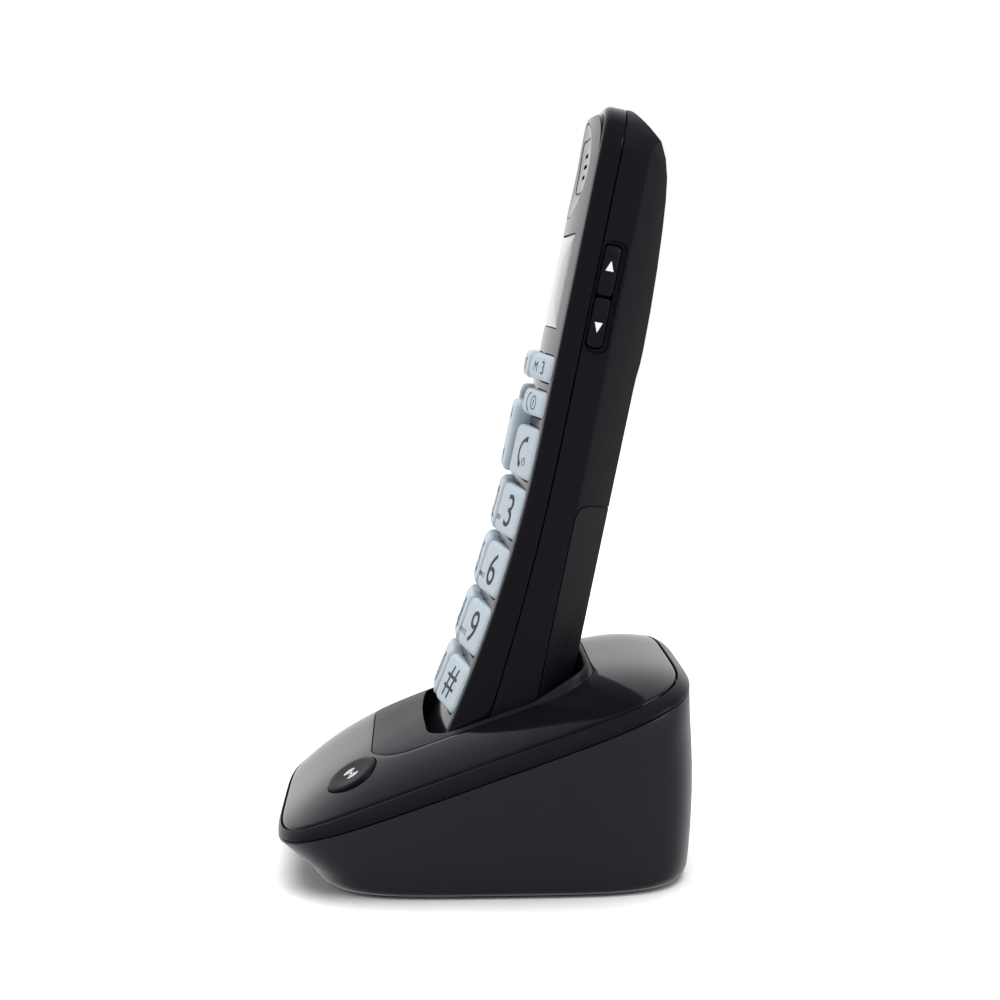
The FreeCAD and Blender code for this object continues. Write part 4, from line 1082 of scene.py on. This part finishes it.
def make_window():
    """Clear display window and the segments of the display behind it."""

    def glass_point(u, v, drop=0.0):
        level = WINDOW_LEVEL + v
        return Vector((u, plate_at(u, level) + drop, level))

    rings = []
    for drop, inset in ((1.1, 0.15), (0.25, 0.15), (0.06, 0.25), (0.0, 0.5)):
        outline = rounded(WINDOW_HALF_U - inset, WINDOW_HALF_V - inset, 0.9, 6)
        rings.append([glass_point(u, v, drop) for u, v in outline])
    for share in (0.8, 0.6, 0.4, 0.2):
        rings.append([glass_point(u * share, v * share) for u, v in outline])
    window = skin("window", rings, "face", "point")
    settle(window, "display_window", "handset", CLEAR_WINDOW, ("display_lens",),
           STANDING)
    display_rise = 5.62
    signs = [
        lettering("12:30", 8.6, 0.5, 125.2, LCD_INK, 0.0),
        lettering("1 / 6", 3.4, 11.6, 133.0, LCD_INK, 0.0),
        lettering("|||", 3.4, -13.2, 133.0, LCD_INK, 0.0),
        stroke([(-15.0, 117.6), (15.0, 117.6)], 0.3, LCD_INK),
    ]
    for sign in signs:
        lay_flat(sign, lambda u, v: display_rise)
    settle(join(signs), "display_segments", "handset", LCD_INK, place=STANDING)


BACK_LINE = (
    (11.9, 0.0), (11.9, 102.0), (11.95, 105.0), (12.25, 108.5), (12.3, 112.0), (12.05, 121.0),
    (11.5, 131.0), (10.75, 140.0), (9.9, 147.5), (9.0, 152.5), (7.6, 156.6), (5.6, 159.9),
    (2.4, 162.9), (-2.0, 166.6),
)


def back_line(inset):
    """Side view of the back of the case from its lower end, moved inwards, as (depth, level)."""
    return [
        (depth - inset, max(level - inset * (level > 150), inset)) for depth, level in BACK_LINE
    ]


def back_form(inset, seam_shift):
    """Solid of the rear half of the case, moved inwards."""
    form = prism("back", case_outline(inset), "Y", -30.0, 40.0)
    levels = [CASE_LONG + 4 - 8.0 * s for s in range(23)]
    side = [(seam_at(level) + seam_shift, level) for level in levels if level > -8.0]
    side += [(seam_at(-8.0) + seam_shift, -8.0)]
    lowest = back_line(inset)[0][0]
    side += [(lowest, -8.0)] + back_line(inset)[1:] + [(-2.0 - inset, CASE_LONG + 6)]
    carve(form, prism("side", side, "X", -40.0, 40.0), "INTERSECT")
    half, flat = CASE_HALF - inset, 17.0 - inset * 0.4
    edge, deep = 3.5 - inset * 0.4, 12.3 - inset
    section = [(-half, -40), (half, -40), (half, edge), (flat, deep), (-flat, deep), (-half, edge)]
    carve(form, prism("section", section, "Z", -20.0, 190.0), "INTERSECT")
    return form


def make_back_case():
    """Textured rear half, its battery cover, and the pocket of the volume keys."""
    form = back_form(0.0, 0.12)
    soften(form, 0.9, 3, 28.0)
    carve(form, back_form(1.8, -3.0))
    cover = copy_of(form, "cover")
    zone = [(3.62, 4.62), (40.0, 4.62), (40.0, 73.28), (6.6, 73.28), (4.5, 72.4), (3.62, 70.3)]
    carve(cover, prism("zone", zone, "X", -40, 40), "INTERSECT")
    hole = [(3.38, 4.38), (40.0, 4.38), (40.0, 73.52), (6.5, 73.52), (4.3, 72.65), (3.38, 70.4)]
    carve(form, prism("zone", hole, "X", -40, 40))
    recess = rounded(2.85, 13.4, 2.4, 6, (0.05, VOLUME_LEVEL))
    carve(form, prism("pocket", recess, "X", 25.1, 30.0))
    well = rounded(2.2, 12.3, 1.3, 5, (VOLUME_SHIFT, VOLUME_LEVEL))
    carve(form, prism("well", well, "X", 15.0, 30.0))
    for row in COLUMNS:
        carve(form, prism("slot", rounded(6.0, 0.8, 0.7, 4, (0, 125.0 + row * 4)), "Y", 8.0, 20.0))
    for side in (-1, 1):
        carve(form, prism("contact", rounded(2.2, 1.7, 0.3, 3, (side * 8.0, 2.0)), "Z", -4.0, 4.0))
    settle(form, "handset_back_case", "handset", TEXTURED_BLACK, ("rear_shell",),
           STANDING, smooth=30.0)
    for row in range(5):
        notch = rounded(6.0 - row * 0.5, 0.35, 0.3, 4, (0, 62.0 - row * 1.8))
        carve(cover, prism("grip", notch, "Y", 12.1, 20.0))
    settle(cover, "battery_door", "handset", TEXTURED_BLACK, ("battery_cover",),
           STANDING, smooth=30.0)


def make_volume_keys():
    """Two volume keys with printed triangles."""
    for side, name in ((1, "volume_up"), (-1, "volume_down")):
        level = VOLUME_LEVEL + side * 6.1
        rings = []
        for inset, x in ((0.0, 23.1), (0.0, 25.9), (0.08, 26.3), (0.3, 26.58), (0.7, 26.7)):
            ring = []
            for u, v in rounded(1.95 - inset, 5.9 - inset, 1.2 - inset * 0.6, 6):
                outer_end = max(side * v - 3.2, 0) / 2.7
                dip = 0.35 * outer_end**2 * (x > 25.0)
                ring.append(Vector((x - dip, VOLUME_SHIFT + u, level + v)))
            rings.append(ring)
        cap = skin("volume", rings)
        cap.data.materials.append(TEXTURED_BLACK)
        sign = triangle_sign(1.9, 2.3, 0.0, 0.0, side > 0, LEGEND_WHITE)
        # painted shade: a darker, glossier black dot laid on the key where a small hole would be,
        # standing in for the hole's shade
        hole_shade_dot = stroke([(-0.35, side * 2.6), (0.35, side * 2.6)], 0.7, SATIN_BLACK)
        for mark in (sign, hole_shade_dot):
            for vertex in mark.data.vertices:
                u, thickness, v = vertex.co
                depth = VOLUME_FACE - thickness * 0.5
                vertex.co = (depth, VOLUME_SHIFT + u, level + side * 1.1 + v)
        cap = join([cap, sign, hole_shade_dot])
        settle(cap, name + "_cap", name + "_key", TEXTURED_BLACK,
               (name + "_key",), STANDING)


# ---- inner pieces


def finish_inner_pieces():
    """Materials of the pieces that keep the frame's own shape."""
    finishes = {
        INNER_PLASTIC: ("page_switch", "lcd_frame", "volume_switches"),
        BOARD_GREEN: ("base_circuit_board", "handset_circuit_board"),
        PLATED_METAL: (
            "charge_springs", "base_screws", "receiver_speaker", "microphone", "ringer_speaker",
            "battery_contacts", "handset_charge_contacts", "handset_screws",
        ),
        LCD_PALE: ("lcd_panel",), LEGEND_WHITE: ("lcd_backlight",), SILICONE: ("keypad_mat",),
        CELL_SLEEVE: ("battery_cells",),
    }
    for material, names in finishes.items():
        for name in names:
            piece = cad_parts[name]
            piece.data.materials.clear()
            piece.data.materials.append(material)


# ---- studio


def make_studio():
    """Pale floor, soft lights and the camera."""
    bpy.ops.object.select_all(action="DESELECT")
    bpy.ops.mesh.primitive_circle_add(vertices=96, radius=2.2, fill_type="NGON")
    floor = bpy.context.object
    floor.name = "studio_floor"
    floor.data.materials.append(
        grained("studio floor", (0.93, 0.93, 0.93), 0.6, 120.0, 0.00002, drift=0.01)
    )
    floor.visible_glossy = False
    world = bpy.data.worlds.new("studio air")
    world.use_nodes = True
    nodes, links = world.node_tree.nodes, world.node_tree.links
    air = nodes["Background"]
    air.inputs["Color"].default_value = (1.0, 1.0, 1.0, 1)
    heading = nodes.new("ShaderNodeTexCoord")
    split = nodes.new("ShaderNodeSeparateXYZ")
    links.new(heading.outputs["Generated"], split.inputs["Vector"])
    glow = nodes.new("ShaderNodeMapRange")  # a white wall behind, a dim room on the +X side
    glow.interpolation_type = "SMOOTHSTEP"
    preset(glow, {"From Min": 0.1, "From Max": -0.95, "To Min": 0.16, "To Max": 0.9})
    links.new(split.outputs["X"], glow.inputs["Value"])
    sight = nodes.new("ShaderNodeLightPath")
    seen = nodes.new("ShaderNodeMix")
    links.new(sight.outputs["Is Camera Ray"], seen.inputs["Factor"])
    links.new(glow.outputs["Result"], seen.inputs["A"])
    seen.inputs["B"].default_value = 1.0
    links.new(seen.outputs["Result"], air.inputs["Strength"])
    bpy.context.scene.world = world
    bpy.ops.object.light_add(type="SUN", location=(0, 0, 3))
    overhead = bpy.context.object
    overhead.name = "overhead panel"
    overhead.data.energy = 2.7
    overhead.data.angle = math.radians(70)
    overhead.visible_glossy = False
    lights = (
        ("top softbox", (-0.1, 0.0, 1.4), (0, 0, 0.06), 1.6, 16.0),
        ("rear softbox", (0.5, 1.0, 0.6), (0, 0, 0.09), 0.7, 3.5),
        ("front softbox", (0.2, -1.2, 0.6), (0, 0, 0.09), 1.0, 5.0),
    )
    for name, spot, aim, width, power in lights:
        bpy.ops.object.light_add(type="AREA", location=spot)
        light = bpy.context.object
        light.name = name
        light.data.size = width
        light.data.energy = power
        light.rotation_euler = (Vector(aim) - Vector(spot)).to_track_quat("-Z", "Y").to_euler()
        light.visible_glossy = name == "rear softbox"
    bpy.ops.object.camera_add(location=(0.4458, -0.0152, 0.1415))
    camera = bpy.context.object
    turn, dip = 0.045, 0.117
    gaze = Vector((-math.cos(turn) * math.cos(dip), math.sin(turn) * math.cos(dip), -math.sin(dip)))
    camera.rotation_euler = gaze.to_track_quat("-Z", "Y").to_euler()
    camera.data.lens = 64.8
    camera.data.sensor_width = 36.0
    bpy.context.scene.camera = camera
    bpy.context.scene.view_settings.view_transform = "Standard"


# ---- the work


make_tub()
make_rim()
make_cover()
make_cradle()
make_page_button()
make_sockets()
make_feet()
make_front_case()
make_face_panel()
make_ear_piece()
make_window()
make_back_case()
make_keys()
make_volume_keys()
finish_inner_pieces()
make_studio()
